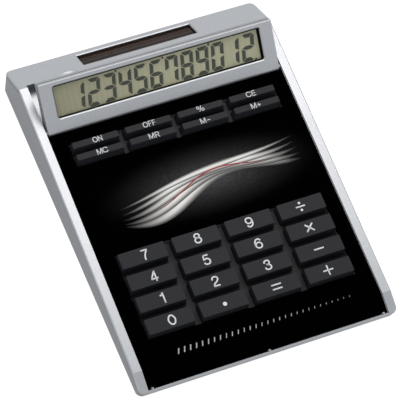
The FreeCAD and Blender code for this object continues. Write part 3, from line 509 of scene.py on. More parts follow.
def key_web(look, pitch):
    """Moulded ABS between the keys: near black as painted shade on the bars between the rows, painted paler
    on the bars between the columns as light that falls along them.
    """
    material, tree, place = new_material("key_frame_abs")
    axes = add_node(tree, "ShaderNodeSeparateXYZ", {}, {"Vector": place["Object"]})
    aside = add_node(tree, "ShaderNodeMath", {"operation": "PINGPONG"}, {
        0: axes.outputs["X"], 1: pitch / 2.0})
    # A mottle in the painted light on the bars between the columns.
    lit_mottle = add_node(tree, "ShaderNodeTexNoise", {}, {
        "Vector": place["Object"], "Scale": per(1.2), "Detail": 3.0})
    bars = add_node(tree, "ShaderNodeMapRange", EASED, {
        "Value": aside.outputs["Value"], "From Min": 1.1 * MM, "From Max": 2.1 * MM,
        "To Min": 1.0, "To Max": 0.0})
    inner = add_node(tree, "ShaderNodeMath", {"operation": "LESS_THAN"}, {
        0: axes.outputs["X"], 1: pitch * 1.5})
    outer = add_node(tree, "ShaderNodeMath", {"operation": "GREATER_THAN"}, {
        0: axes.outputs["X"], 1: -pitch * 1.5})
    between = add_node(tree, "ShaderNodeMath", TIMES, {
        0: inner.outputs["Value"], 1: outer.outputs["Value"]})
    # Painted light on the bars between the columns, as if lit down their length; the rest keeps the
    # near-black ground as painted shade.
    painted_column_light = add_node(tree, "ShaderNodeMath", TIMES, {
        0: bars.outputs["Result"], 1: between.outputs["Value"]})
    worn_and_lit = add_node(tree, "ShaderNodeMix", MIXES, {
        "Factor": lit_mottle.outputs["Fac"], MIX_A: socket_colour("#232425"), MIX_B: socket_colour("#2c2d2f")})
    tint = add_node(tree, "ShaderNodeMix", MIXES, {
        "Factor": painted_column_light.outputs["Value"], MIX_A: opaque(look.frame_and_shade_colour), MIX_B: worn_and_lit.outputs[MIXED]})
    shader = add_node(tree, "ShaderNodeBsdfPrincipled", {}, {
        "Base Color": tint.outputs[MIXED], "Roughness": 0.6, "IOR": 1.54, "Specular IOR Level": 0.1})
    return closed(material, shader)


def legend_ink(name, colour):
    """Printed ink: an even film, a little broken by the texture under it."""
    material, tree, place = new_material(name)
    film = add_node(tree, "ShaderNodeTexNoise", {}, {
        "Vector": place["Object"], "Scale": per(0.25), "Detail": 2.0})
    cover = add_node(tree, "ShaderNodeMapRange", {}, {
        "Value": film.outputs["Fac"], "From Min": 0.3, "From Max": 0.7, "To Min": 0.9, "To Max": 1.05})
    ink = add_node(tree, "ShaderNodeMix", TINTED, {
        "Factor": 1.0, MIX_A: opaque(colour), MIX_B: cover.outputs["Result"]})
    shader = add_node(tree, "ShaderNodeBsdfPrincipled", {}, {
        "Base Color": ink.outputs[MIXED], "Roughness": 0.5})
    return closed(material, shader)


def crystal_glass(look):
    """Liquid crystal cell on a reflector: olive, faintly ruled by its electrodes, with painted shade that
    dims it to the left.
    """
    material, tree, place = new_material("liquid_crystal_glass")
    rules = add_node(tree, "ShaderNodeTexWave", {"bands_direction": "X", "wave_profile": "SIN"}, {
        "Vector": place["Object"], "Scale": per(1.1) / (2.0 * math.pi), "Distortion": 0.6})
    clouds = add_node(tree, "ShaderNodeTexNoise", {}, {
        "Vector": place["Object"], "Scale": per(24.0), "Detail": 1.0})
    ruled = add_node(tree, "ShaderNodeMapRange", {}, {
        "Value": rules.outputs["Fac"], "To Min": 0.97, "To Max": 1.03})
    ground = add_node(tree, "ShaderNodeMix", MIXES, {
        "Factor": clouds.outputs["Fac"], MIX_A: opaque(look.crystal_colour),
        MIX_B: socket_colour("#8c8d76")})
    axes = add_node(tree, "ShaderNodeSeparateXYZ", {}, {"Vector": place["Object"]})
    # Painted shade that dims the display towards its left end.
    painted_left_shade = add_node(tree, "ShaderNodeMapRange", EASED, {
        "Value": axes.outputs["X"], "From Min": -60.0 * MM, "From Max": 12.0 * MM, "To Min": 0.72})
    level = add_node(tree, "ShaderNodeMath", TIMES, {
        0: ruled.outputs["Result"], 1: painted_left_shade.outputs["Result"]})
    olive = add_node(tree, "ShaderNodeMix", TINTED, {
        "Factor": 1.0, MIX_A: ground.outputs[MIXED], MIX_B: level.outputs["Value"]})
    shader = add_node(tree, "ShaderNodeBsdfPrincipled", {}, {
        "Base Color": olive.outputs[MIXED], "Roughness": 0.45, "IOR": 1.52, "Specular IOR Level": 0.2})
    return closed(material, shader)


def crystal_segment(name, colour):
    """Liquid crystal turned on: a dark even patch, slightly uneven where the cell's gap varies."""
    material, tree, place = new_material(name)
    gap = add_node(tree, "ShaderNodeTexNoise", {}, {
        "Vector": place["Object"], "Scale": per(2.5), "Detail": 1.0})
    level = add_node(tree, "ShaderNodeMapRange", {}, {
        "Value": gap.outputs["Fac"], "To Min": 0.9, "To Max": 1.12})
    dark = add_node(tree, "ShaderNodeMix", TINTED, {
        "Factor": 1.0, MIX_A: opaque(colour), MIX_B: level.outputs["Result"]})
    shader = add_node(tree, "ShaderNodeBsdfPrincipled", {}, {
        "Base Color": dark.outputs[MIXED], "Roughness": 0.5, "Specular IOR Level": 0.15})
    return closed(material, shader)


def solar_film(origin, length_slope):
    """Amorphous silicon on glass: brown strips, painted paler to the rear as light, between hairlines cut
    in the film.
    """
    material, tree, place = new_material("amorphous_silicon")
    laid = add_node(tree, "ShaderNodeMapping", {"vector_type": "TEXTURE"}, {
        "Vector": place["Object"], "Location": origin, "Rotation": (length_slope, 0.0, 0.0)})
    cuts = add_node(tree, "ShaderNodeTexWave", {"bands_direction": "Y", "wave_profile": "SAW"}, {
        "Vector": laid.outputs["Vector"], "Scale": per(1.25) / (2.0 * math.pi)})
    hairline = add_node(tree, "ShaderNodeMapRange", {}, {
        "Value": cuts.outputs["Fac"], "From Max": 0.3, "To Min": 1.0, "To Max": 0.0})
    bloom = add_node(tree, "ShaderNodeTexNoise", {}, {
        "Vector": place["Object"], "Scale": per(8.0), "Detail": 2.0})
    strip = add_node(tree, "ShaderNodeMix", MIXES, {
        "Factor": bloom.outputs["Fac"], MIX_A: socket_colour("#0e0b0a"), MIX_B: socket_colour("#15100e")})
    axes = add_node(tree, "ShaderNodeSeparateXYZ", {}, {"Vector": laid.outputs["Vector"]})
    # Painted light that makes the film paler towards the rear.
    rear = add_node(tree, "ShaderNodeMapRange", {}, {
        "Value": axes.outputs["Y"], "From Min": -1.5 * MM, "From Max": 4.0 * MM})
    lit_to_rear = add_node(tree, "ShaderNodeMix", MIXES, {
        "Factor": rear.outputs["Result"], MIX_A: strip.outputs[MIXED], MIX_B: socket_colour("#241b18")})
    film = add_node(tree, "ShaderNodeMix", MIXES, {
        "Factor": hairline.outputs["Result"], MIX_A: lit_to_rear.outputs[MIXED], MIX_B: socket_colour("#43352e")})
    shader = add_node(tree, "ShaderNodeBsdfPrincipled", {}, {
        "Base Color": film.outputs[MIXED], "Roughness": 0.3, "IOR": 1.52, "Specular IOR Level": 0.05})
    return closed(material, shader)


def moulded_rubber(name, light, dark):
    """Moulded rubber: matt, finely pitted, a little dusty where it is touched."""
    material, tree, place = new_material(name)
    pits = add_node(tree, "ShaderNodeTexNoise", {}, {
        "Vector": place["Object"], "Scale": per(0.5), "Detail": 4.0, "Roughness": 0.7})
    dust = add_node(tree, "ShaderNodeMix", MIXES, {
        "Factor": pits.outputs["Fac"], MIX_A: socket_colour(dark), MIX_B: socket_colour(light)})
    skin = add_node(tree, "ShaderNodeBump", {}, {
        "Height": pits.outputs["Fac"], "Strength": 0.3, "Distance": 0.05 * MM})
    shader = add_node(tree, "ShaderNodeBsdfPrincipled", {}, {
        "Base Color": dust.outputs[MIXED], "Roughness": 0.8, "Normal": skin.outputs["Normal"],
        "Specular IOR Level": 0.3})
    return closed(material, shader)


def plated_steel():
    """Zinc plated steel: bright, faintly brushed by the tumbling that polished it."""
    material, tree, place = new_material("zinc_plated_steel")
    tumbling = add_node(tree, "ShaderNodeTexNoise", {}, {
        "Vector": place["Object"], "Scale": per(0.6), "Detail": 3.0})
    worn_and_lit = add_node(tree, "ShaderNodeMapRange", {}, {
        "Value": tumbling.outputs["Fac"], "To Min": 0.22, "To Max": 0.42})
    shader = add_node(tree, "ShaderNodeBsdfPrincipled", {}, {
        "Base Color": socket_colour("#c3c6c9"), "Metallic": 1.0, "Roughness": worn_and_lit.outputs["Result"]})
    return closed(material, shader)


def board_laminate():
    """Glass laminate under green solder resist: copper runs show through as paler lines."""
    material, tree, place = new_material("glass_laminate")
    runs = add_node(tree, "ShaderNodeTexBrick", {"offset": 0.35}, {
        "Vector": place["Object"], "Scale": per(6.0), "Mortar Size": 0.06,
        "Color1": socket_colour("#1d5a35"), "Color2": socket_colour("#21613a"),
        "Mortar": socket_colour("#3f8a55")})
    shader = add_node(tree, "ShaderNodeBsdfPrincipled", {}, {
        "Base Color": runs.outputs["Color"], "Roughness": 0.35, "IOR": 1.5})
    return closed(material, shader)


def ribbon_film():
    """Polyimide film with printed conductors: amber, with fine dark lines along it."""
    material, tree, place = new_material("polyimide_film")
    lines = add_node(tree, "ShaderNodeTexWave", {"bands_direction": "X"}, {
        "Vector": place["Object"], "Scale": per(0.8) / (2.0 * math.pi)})
    amber = add_node(tree, "ShaderNodeMix", MIXES, {
        "Factor": lines.outputs["Fac"], MIX_A: socket_colour("#a8641f"), MIX_B: socket_colour("#5c3a18")})
    shader = add_node(tree, "ShaderNodeBsdfPrincipled", {}, {
        "Base Color": amber.outputs[MIXED], "Roughness": 0.3})
    return closed(material, shader)


def stroke_mesh(name, strokes, height, width):
    """Flat strokes of one width along lines, curves and loops, as a mesh in the plane."""
    curve = bpy.data.curves.new(name, "CURVE")
    curve.dimensions = "3D"
    curve.twist_mode = "Z_UP"
    curve.extrude = width / 2.0
    curve.resolution_u = 8
    for kind, points in strokes:
        spline = curve.splines.new("POLY" if kind == "line" else "BEZIER")
        spline.use_cyclic_u = kind == "loop"
        dots = spline.points if kind == "line" else spline.bezier_points
        dots.add(len(points) - 1)
        for dot, (x, y) in zip(dots, points):
            place = (x * height, y * height, 0.0)
            dot.co = (*place, 1.0) if kind == "line" else place
            dot.tilt = math.pi / 2.0
            if kind != "line":
                dot.handle_left_type = dot.handle_right_type = "AUTO"
    drawn = bpy.data.objects.new(name, curve)
    bpy.context.scene.collection.objects.link(drawn)
    bpy.context.view_layer.update()
    mesh = bpy.data.meshes.new_from_object(drawn.evaluated_get(bpy.context.evaluated_depsgraph_get()))
    bpy.data.objects.remove(drawn)
    bpy.data.curves.remove(curve)
    return mesh


def extruded(bm, faces):
    """Extrudes faces of an open sheet, which stay to close the shell, and gives the new vertices."""
    made = bmesh.ops.extrude_face_region(bm, geom=faces)["geom"]
    return [part for part in made if isinstance(part, bmesh.types.BMVert)]


def thickened(bm, film):
    """Gives flat prints the thickness of their film, as closed shells that reach down from the plane."""
    bm.normal_update()
    bmesh.ops.reverse_faces(bm, faces=[face for face in bm.faces if face.normal.z < 0.0])
    bmesh.ops.translate(bm, vec=(0.0, 0.0, -film), verts=extruded(bm, bm.faces[:]))
    bmesh.ops.recalc_face_normals(bm, faces=bm.faces)
    return bm


class CALCULATOR_OT_case(bpy.types.Operator):
    """Lacquers the case and finishes the pieces inside it"""

    bl_idname = "calculator.case"
    bl_label = "Finish the case"

    def execute(self, context):
        look = context.scene.calculator_look
        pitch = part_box("key_8")[0].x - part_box("key_7")[0].x
        lacquer = silver_lacquer("silver_lacquer_on_abs", look.lacquer)
        dress(lacquer, "upper_case", "display_bezel", "display_back")
        # The lower case and the battery door get the darker copy of the lacquer: painted shade against the
        # light from the glowing floor.
        dress(silver_lacquer("silver_lacquer_painted_shade", look.shaded_lower_lacquer), "lower_case", "battery_door")
        dress(key_web(look, pitch), "number_key_frame", "function_key_frame")
        silicone = moulded_rubber("grey_silicone_rubber", "#8d9092", "#7b7e80")
        dress(silicone, "number_key_mat", "function_key_mat")
        dress(plated_steel(), "board_screws", "case_screws", "door_screw", "button_cell", "battery_clip")
        dress(board_laminate(), "main_board")
        dress(moulded_plastic("chip_epoxy", linear("#17181a"), 0.45, 0.5), "chip")
        dress(moulded_plastic("lead_pvc", linear("#a3272a"), 0.4, 0.5), "solar_leads")
        return {"FINISHED"}


class CALCULATOR_OT_ribbon(bpy.types.Operator):
    """Lays the display's ribbon, cut across into strips at which it can bend"""

    bl_idname = "calculator.ribbon"
    bl_label = "Lay the ribbon"

    tray_slot: lengths_setting(
        "Tray slot", "Where the ribbon leaves the tray, from the hinge", 0.0, 2.4, -5.0)
    display_slot: lengths_setting(
        "Display slot", "Where the ribbon enters the display, from the hinge", 0.0, 1.0, -3.5)
    folds: IntProperty(
        name="Folds", description="Lines across the ribbon at which it can bend", default=7, min=1)

    def execute(self, context):
        start = Matrix.Translation(TILT["pos_m"]) @ PANEL @ Vector(self.tray_slot)
        end = DISPLAY @ Vector(self.display_slot)
        bm = node_copy("lcd_ribbon")
        for fold in range(1, self.folds + 1):
            bmesh.ops.bisect_plane(
                bm, geom=[*bm.verts, *bm.edges, *bm.faces], plane_no=end - start,
                plane_co=start.lerp(end, fold / (self.folds + 1)))
        film = new_piece("lcd_ribbon_film", bm, IN_PLACE, None, ribbon_film())
        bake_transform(film)
        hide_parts("lcd_ribbon")
        return {"FINISHED"}


class CALCULATOR_OT_glazing(bpy.types.Operator):
    """Lays the clear sheets with a hair of air round them"""

    bl_idname = "calculator.glazing"
    bl_label = "Lay the clear sheets"

    hair: length_setting("Air", "Air between a clear sheet and what it lies on", 0.08)

    def execute(self, context):
        cover = clear_acrylic("clear_acrylic_cover", "#404040")
        window = clear_acrylic("clear_acrylic_window", "#606060")
        self.lay("clear_cover", "case", cover)
        self.lay("solar_window", "case", cover)
        self.lay("display_window", "display", window)
        return {"FINISHED"}

    def lay(self, name, body, acrylic):
        """A sheet that is a hair smaller all round than its node, which it stands for."""
        bm = node_copy(name)
        bm.normal_update()
        for vertex in bm.verts:
            vertex.co -= vertex.normal * self.hair * vertex.calc_shell_factor()
        sheet = new_piece(name + "_sheet", bm, IN_PLACE, body, acrylic, SHEET_CREASE)
        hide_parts(name)


class CALCULATOR_OT_solar(bpy.types.Operator):
    """Draws the strips of the solar cell and bevels the rear edge of its opening"""

    bl_idname = "calculator.solar"
    bl_label = "Finish the solar cell"

    ledge: length_setting("Ledge", "Part of the window under the deck", 0.6)
    flare: length_setting("Flare", "Opening wider at the deck's surface", 0.35)
    lip: length_setting("Lip", "Bevel over the window", 0.15)
    lean: FloatProperty(
        name="Lean", description="Slope of the bevel against the deck", subtype="ANGLE",
        default=math.radians(38.0))
    air: length_setting("Air", "Air between the bevel and the window", 0.02)

    def execute(self, context):
        low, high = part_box("solar_cell")
        sheet = max(NODES["solar_window"].data.polygons, key=lambda face: face.area * face.normal.z)
        slope = -math.atan2(sheet.normal.y, sheet.normal.z)
        dress(solar_film((low + high) / 2.0, slope), "solar_cell")
        self.bevel_rear(Matrix.Rotation(slope, 4, "X"))
        return {"FINISHED"}

    def bevel_rear(self, deck):
        """A lacquered strip in the rear flare of the opening that slopes down to the window."""
        low, high = extent("solar_window", deck)
        surface = extent("upper_case", deck)[1].z
        recess = surface - high.z
        left, rear = low.x + self.ledge, high.y - self.ledge
        drop = (self.flare + self.lip) * math.tan(self.lean)
        # Corners of the strip's left end: how far past the opening's side and its rear edge, and how deep.
        outline = (
            (self.flare, self.flare, 0.0), (self.flare * (1.0 - drop / recess), -self.lip, drop),
            (0.0, -self.lip, recess - self.air), (0.0, 0.0, recess - self.air))
        bm = bmesh.new()
        end = bm.faces.new([
            bm.verts.new((left - past, rear + behind, surface - depth)) for past, behind, depth in outline])
        for vertex in extruded(bm, [end]):
            vertex.co.x = low.x + high.x - vertex.co.x
        bmesh.ops.recalc_face_normals(bm, faces=bm.faces)
        lacquer = NODES["upper_case"].data.materials[0]
        new_piece("solar_bevel", bm, deck, "case", lacquer)


class CALCULATOR_OT_feet(bpy.types.Operator):
    """Moulds the rubber feet with rounded soles"""

    bl_idname = "calculator.feet"
    bl_label = "Mould the feet"

    def execute(self, context):
        edge = context.scene.calculator_look.foot_edge
        low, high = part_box("rubber_feet")
        radius = self.radius(low)
        bm = bmesh.new()
        for x in (low.x + radius, high.x - radius):
            for y in (low.y + radius, high.y - radius):
                bmesh.ops.create_cone(
                    bm, cap_ends=True, segments=48, radius1=radius, radius2=radius, depth=high.z - low.z,
                    matrix=Matrix.Translation((x, y, (low.z + high.z) / 2.0)))
        soles = [side for side in bm.edges if all(abs(end.co.z - low.z) < LEVEL for end in side.verts)]
        bmesh.ops.bevel(
            bm, geom=soles, offset=edge, segments=4, profile=0.5, affect="EDGES", material=-1)
        rubber = moulded_rubber("black_rubber", "#26272a", "#17181a")
        feet = new_piece("feet", bm, IN_PLACE, "case", rubber, FOOT_CREASE)
        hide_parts("rubber_feet")
        return {"FINISHED"}

    def radius(self, low):
        """Radius of a foot, from the front left one of the four in the node."""
        spread = [vertex.co.x for vertex in NODES["rubber_feet"].data.vertices
                  if vertex.co.x < 0.0 and vertex.co.y < 0.0]
        return (max(spread) - low.x) / 2.0


class CALCULATOR_OT_keys(bpy.types.Operator):
    """Moulds the keys with rounded edges, in the place of the plain ones"""

    bl_idname = "calculator.keys"
    bl_label = "Mould the keys"

    def execute(self, context):
        look = context.scene.calculator_look
        plastic = moulded_plastic("key_abs", look.key_colour, 0.5, 0.1)
        for name in (*NUMBER_LEGENDS, *FUNCTION_LEGENDS):
            bm = self.cap(name, look)
            cap = new_piece(name + "_cap", bm, PANEL, name, plastic, KEY_CREASE)
            # The large faces keep their own direction, so that only the rounded edges turn the light.
            cap.modifiers.new("flat_faces", "WEIGHTED_NORMAL").keep_sharp = True
            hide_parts(name)
        return {"FINISHED"}

    def cap(self, name, look):
        """A key: a straight shank, open below for the dome, and a head that narrows to its rounded top."""
        shank, base, shoulder, top = key_levels(name)[1:]
        bm = bmesh.new()
        bmesh.ops.create_cube(bm, size=1.0)
        for vertex in bm.verts:
            vertex.co = self.corner(base, vertex.co, shank[0].z if vertex.co.z < 0.0 else base[0].z)
        bm.normal_update()
        faces = sorted(bm.faces, key=lambda face: face.calc_center_median().z)
        floor, lid = faces[0], faces[-1]
        bmesh.ops.inset_region(bm, faces=[floor], thickness=look.key_wall, use_even_offset=True)
        bmesh.ops.translate(bm, vec=(0.0, 0.0, look.key_hollow), verts=floor.verts)
        hollow = set(floor.verts)
        head = bmesh.ops.extrude_discrete_faces(bm, faces=[lid])["faces"][0]
        middle = head.calc_center_median()
        for vertex in head.verts:
            vertex.co = self.corner(shoulder, vertex.co - middle, top[0].z)
        upright = [edge for edge in bm.edges if abs(edge.verts[0].co.z - edge.verts[1].co.z) > look.key_edge
                   and not hollow.intersection(edge.verts)]
        bmesh.ops.bevel(
            bm, geom=upright, offset=look.key_corner, segments=4, profile=0.5, affect="EDGES", material=-1)
        rim = [edge for edge in bm.edges if all(end.co.z > top[0].z - LEVEL for end in edge.verts)]
        bmesh.ops.bevel(
            bm, geom=rim, offset=look.key_edge, segments=3, profile=0.5, affect="EDGES", material=-1)
        return bm

    def corner(self, rectangle, side, height):
        """The corner of a rectangle on one side of its middle, at a height."""
        low, high = rectangle
        return Vector((low.x if side.x < 0.0 else high.x, low.y if side.y < 0.0 else high.y, height))


class CALCULATOR_OT_legends(bpy.types.Operator):
    """Prints the characters on the keys"""

    bl_idname = "calculator.legends"
    bl_label = "Print the legends"

    number_stroke: length_setting("Number stroke", "Stroke of the large characters", 0.58)
    function_stroke: length_setting("Function stroke", "Stroke of the small characters", 0.29)
    ink_film: length_setting("Ink film", "How far the ink stands on the key", 0.02)
    print_pitch: FloatProperty(
        name="Print pitch", description="Pitch of the print as a share of the keys' pitch", default=0.981)
    print_shift: length_setting("Print shift", "How far the print sits to the right", 0.2)

    def execute(self, context):
        look = context.scene.calculator_look
        ink = legend_ink("pad_printed_ink", look.legend_colour)
        for name, sign in NUMBER_LEGENDS.items():
            stroke = self.number_stroke * HEAVY_MARKS.get(sign, 1.0)
            self.print_on(name, [(0.0, sign)], look.number_height, stroke, ink)
        for name, word in FUNCTION_LEGENDS.items():
            self.print_on(name, self.spaced(word), look.function_height, self.function_stroke, ink)
        return {"FINISHED"}

    def spaced(self, word):
        """Each character of a word with the middle of its place along the word."""
        widths = [CHARACTER_WIDTHS.get(sign, 1.0) for sign in word]
        starts = [sum(widths[:at]) - sum(widths) / 2.0 for at in range(len(word))]
        return [(start + width / 2.0, sign) for start, width, sign in zip(starts, widths, word)]

    def print_on(self, name, signs, height, stroke, ink):
        """Prints characters on the middle of a key's top."""
        low, high = key_levels(name)[-1]
        strokes = [(kind, [(x + at, y - 0.5) for x, y in points])
                   for at, sign in signs for kind, points in STROKES[sign]]
        bm = bmesh.new()
        bm.from_mesh(stroke_mesh(name + "_ink", strokes, height, stroke))
        for x, y, radius in DOTS.get(signs[0][1], []):
            bmesh.ops.create_circle(
                bm, cap_ends=True, segments=28, radius=radius * height,
                matrix=Matrix.Translation((x * height, (y - 0.5) * height, 0.0)))
        middle = (low + high) / 2.0 + Vector((self.print_shift, 0.0, self.ink_film))
        middle.x *= self.print_pitch
        place = PANEL @ Matrix.Translation(middle)
        new_piece(name + "_legend", thickened(bm, 2.0 * self.ink_film), place, name, ink)


class CALCULATOR_OT_display(bpy.types.Operator):
    """Fills the display with its glass, a black lining and border painted as the shade in its opening, and
    figures
    """

    bl_idname = "calculator.display"
    bl_label = "Fill the display"

    figure_width: length_setting("Figure width", "Width of a figure", 5.44)
    bar: length_setting("Bar", "Width of an upright segment", 1.72)
    beam: length_setting("Beam", "Width of a level segment", 1.74)
    gap: length_setting("Gap", "Gap between segments", 0.25)
    clip: length_setting("Clip", "How far a figure's corners are cut off", 1.0)
    dot: length_setting("Dot", "Side of the dots between figures", 0.8)
    lean: FloatProperty(
        name="Lean", description="Lean of the figures", subtype="ANGLE", default=math.radians(7.0))
    last_figure: lengths_setting("Last figure", "Middle of the foot of the last figure", 36.8, 5.1)
    film: length_setting("Film", "Thickness of what is printed on the glass", 0.02)
    shadow_fall: lengths_setting("Shadow fall", "Where a segment's shadow falls beside it", 0.32, -0.25)
    shadow_depth: FloatProperty(
        name="Shadow depth", description="Share of a segment's colour in its shadow", default=0.36,
        min=0.0, max=1.0)
    ledge: length_setting("Ledge", "Part of the window under the bezel", 0.72)
    lining_drop: length_setting("Lining drop", "Bare bezel over the lining", 0.45)
    lining_air: length_setting("Lining air", "Air between the lining and the window", 0.05)
    lining_wall: length_setting("Lining wall", "Thickness of the lining", 0.08)
    lining_corner: length_setting("Lining corner", "Radius of the opening's corners", 0.8)
    border: lengths_setting(
        "Border", "Black border at the left, the right, the front and the rear", 1.1, 1.4, 0.9, 1.5)

    def execute(self, context):
        look = context.scene.calculator_look
        dress(crystal_glass(look), "lcd_glass")
        glass = extent("lcd_glass", DISPLAY)[1].z
        low, high = extent("display_window", DISPLAY)
        # Black film that paints the shade on the walls and at the edges of the display's opening.
        shade_black = moulded_plastic("painted_shade_lining", linear("#070808"), 0.6, 0.1)
        self.line_opening_with_shade(low, high, shade_black)
        self.paint_border_shade(low, high, glass, shade_black)
        figures = self.figures(look)
        shadow = figures.copy()
        dark = crystal_segment("crystal_dark", look.figure_colour)
        place = DISPLAY @ Matrix.Translation((0.0, 0.0, glass + 2.0 * self.film))
        new_piece("figures", thickened(figures, self.film / 2.0), place, "display", dark)
        # The segments float above their reflector, so each throws a faint shadow beside itself.
        mixed = Vector(look.crystal_colour).lerp(Vector(look.figure_colour), self.shadow_depth)
        pale = crystal_segment("crystal_shadow", mixed)
        place = DISPLAY @ Matrix.Translation((*self.shadow_fall, glass + self.film))
        new_piece("figure_shadow", thickened(shadow, 2.0 * self.film), place, "display", pale)
        return {"FINISHED"}

    def line_opening_with_shade(self, low, high, shade_black):
        """A black lining on the walls of the opening over the window, as painted shade on those walls."""
        roof = extent("display_bezel", DISPLAY)[1].z - self.lining_drop
        wide, deep = high.x - low.x - 2.0 * self.ledge, high.y - low.y - 2.0 * self.ledge
        middle = Vector(((low.x + high.x) / 2.0, (low.y + high.y) / 2.0, roof))
        bm = bmesh.new()
        bmesh.ops.create_grid(
            bm, x_segments=1, y_segments=1, size=0.5,
            matrix=Matrix.Translation(middle) @ Matrix.Diagonal((wide, deep, 1.0, 1.0)))
        bmesh.ops.bevel(
            bm, geom=bm.verts[:], offset=self.lining_corner, segments=6, profile=0.5, affect="VERTICES",
            material=-1)
        bm.normal_update()
        rim = bmesh.ops.inset_region(
            bm, faces=bm.faces[:], thickness=self.lining_wall, use_boundary=True, use_even_offset=True)
        inside = set(bm.faces).difference(rim["faces"])
        bmesh.ops.delete(bm, geom=list(inside), context="FACES")
        shade_lining = thickened(bm, roof - high.z - self.lining_air)
        new_piece("display_shade_lining", shade_lining, DISPLAY, "display", shade_black)

    def paint_border_shade(self, low, high, glass, shade_black):
        """A black border on the glass round what the display shows, as painted shade at the edges of the
        opening.
        """
        left, right, front, rear = self.border
        columns = (low.x + self.film, low.x + left, high.x - right, high.x - self.film)
        rows = (low.y + self.film, low.y + front, high.y - rear, high.y - self.film)
        # A grid of unit squares without the middle one, drawn out to the columns and rows.
        squares = len(rows) - 1
        half = squares / 2.0
        bm = bmesh.new()
        bmesh.ops.create_grid(bm, x_segments=squares, y_segments=squares, size=half)
        shown = min(bm.faces, key=lambda face: face.calc_center_median().length)
        bmesh.ops.delete(bm, geom=[shown], context="FACES")
        for vertex in bm.verts:
            column, row = round(vertex.co.x + half), round(vertex.co.y + half)
            vertex.co = (columns[column], rows[row], glass + self.film)
        border = thickened(bm, 2.0 * self.film)
        new_piece("display_shade_border", border, DISPLAY, "display", shade_black)

    def figures(self, look):
        """The reading's lit segments in the plane of the glass, with the marks between its thousands."""
        bm = bmesh.new()
        foot = Vector((*self.last_figure, 0.0))
        for at, figure in enumerate(reversed(look.figures)):
            self.figure(bm, figure, foot - Vector((at * look.figure_pitch, 0.0, 0.0)), look.figure_height)
        bm.normal_update()
        rims = bmesh.ops.inset_individual(
            bm, faces=bm.faces[:], thickness=self.gap / 2.0, use_even_offset=True)
        bmesh.ops.delete(bm, geom=rims["faces"], context="FACES")
        side = self.figure_width / 2.0 + self.gap / 2.0
        for at in range(3, len(look.figures), 3):
            self.mark(bm, foot + Vector((side - at * look.figure_pitch, look.figure_height, 0.0)))
        self.mark(bm, foot + Vector((side + self.gap, self.gap, 0.0)))
        bmesh.ops.transform(bm, matrix=self.leaning(foot), verts=bm.verts)
        return bm

    def leaning(self, foot):
        """Leans what stands on the foot's line to the right."""
        shear = Matrix.Identity(4)
        shear[0][1] = math.tan(self.lean)
        return Matrix.Translation(foot) @ shear @ Matrix.Translation(-foot)

    def figure(self, bm, figure, foot, height):
        """The lit segments of one upright figure, cut from a frame with a middle bar."""
        half, middle, clip = self.figure_width / 2.0, height / 2.0, self.clip / 2.0
        inside, roof = half - self.bar, height - self.beam
        above, below = middle + self.beam / 2.0, middle - self.beam / 2.0
        top = [(2.0 * clip - half, height), (half - 2.0 * clip, height), (half - clip, height - clip),
               (inside, roof), (-inside, roof), (clip - half, height - clip)]
        side = [(half - clip, height - clip), (half, height - 2.0 * clip), (half, middle),
                (inside, above), (inside, roof)]
        segments = {
            "a": top,
            "b": side,
            "c": [(x, height - y) for x, y in side],
            "d": [(x, height - y) for x, y in top],
            "e": [(-x, height - y) for x, y in side],
            "f": [(-x, y) for x, y in side],
            "g": [(-half, middle), (-inside, above), (inside, above), (half, middle), (inside, below),
                  (-inside, below)],
        }
        for letter in LIT[figure]:
            bm.faces.new([bm.verts.new(foot + Vector((x, y, 0.0))) for x, y in segments[letter]])

    def mark(self, bm, place):
        """A small square dot or tick beside a figure."""
        bmesh.ops.create_grid(
            bm, x_segments=1, y_segments=1, size=self.dot / 2.0, matrix=Matrix.Translation(place))


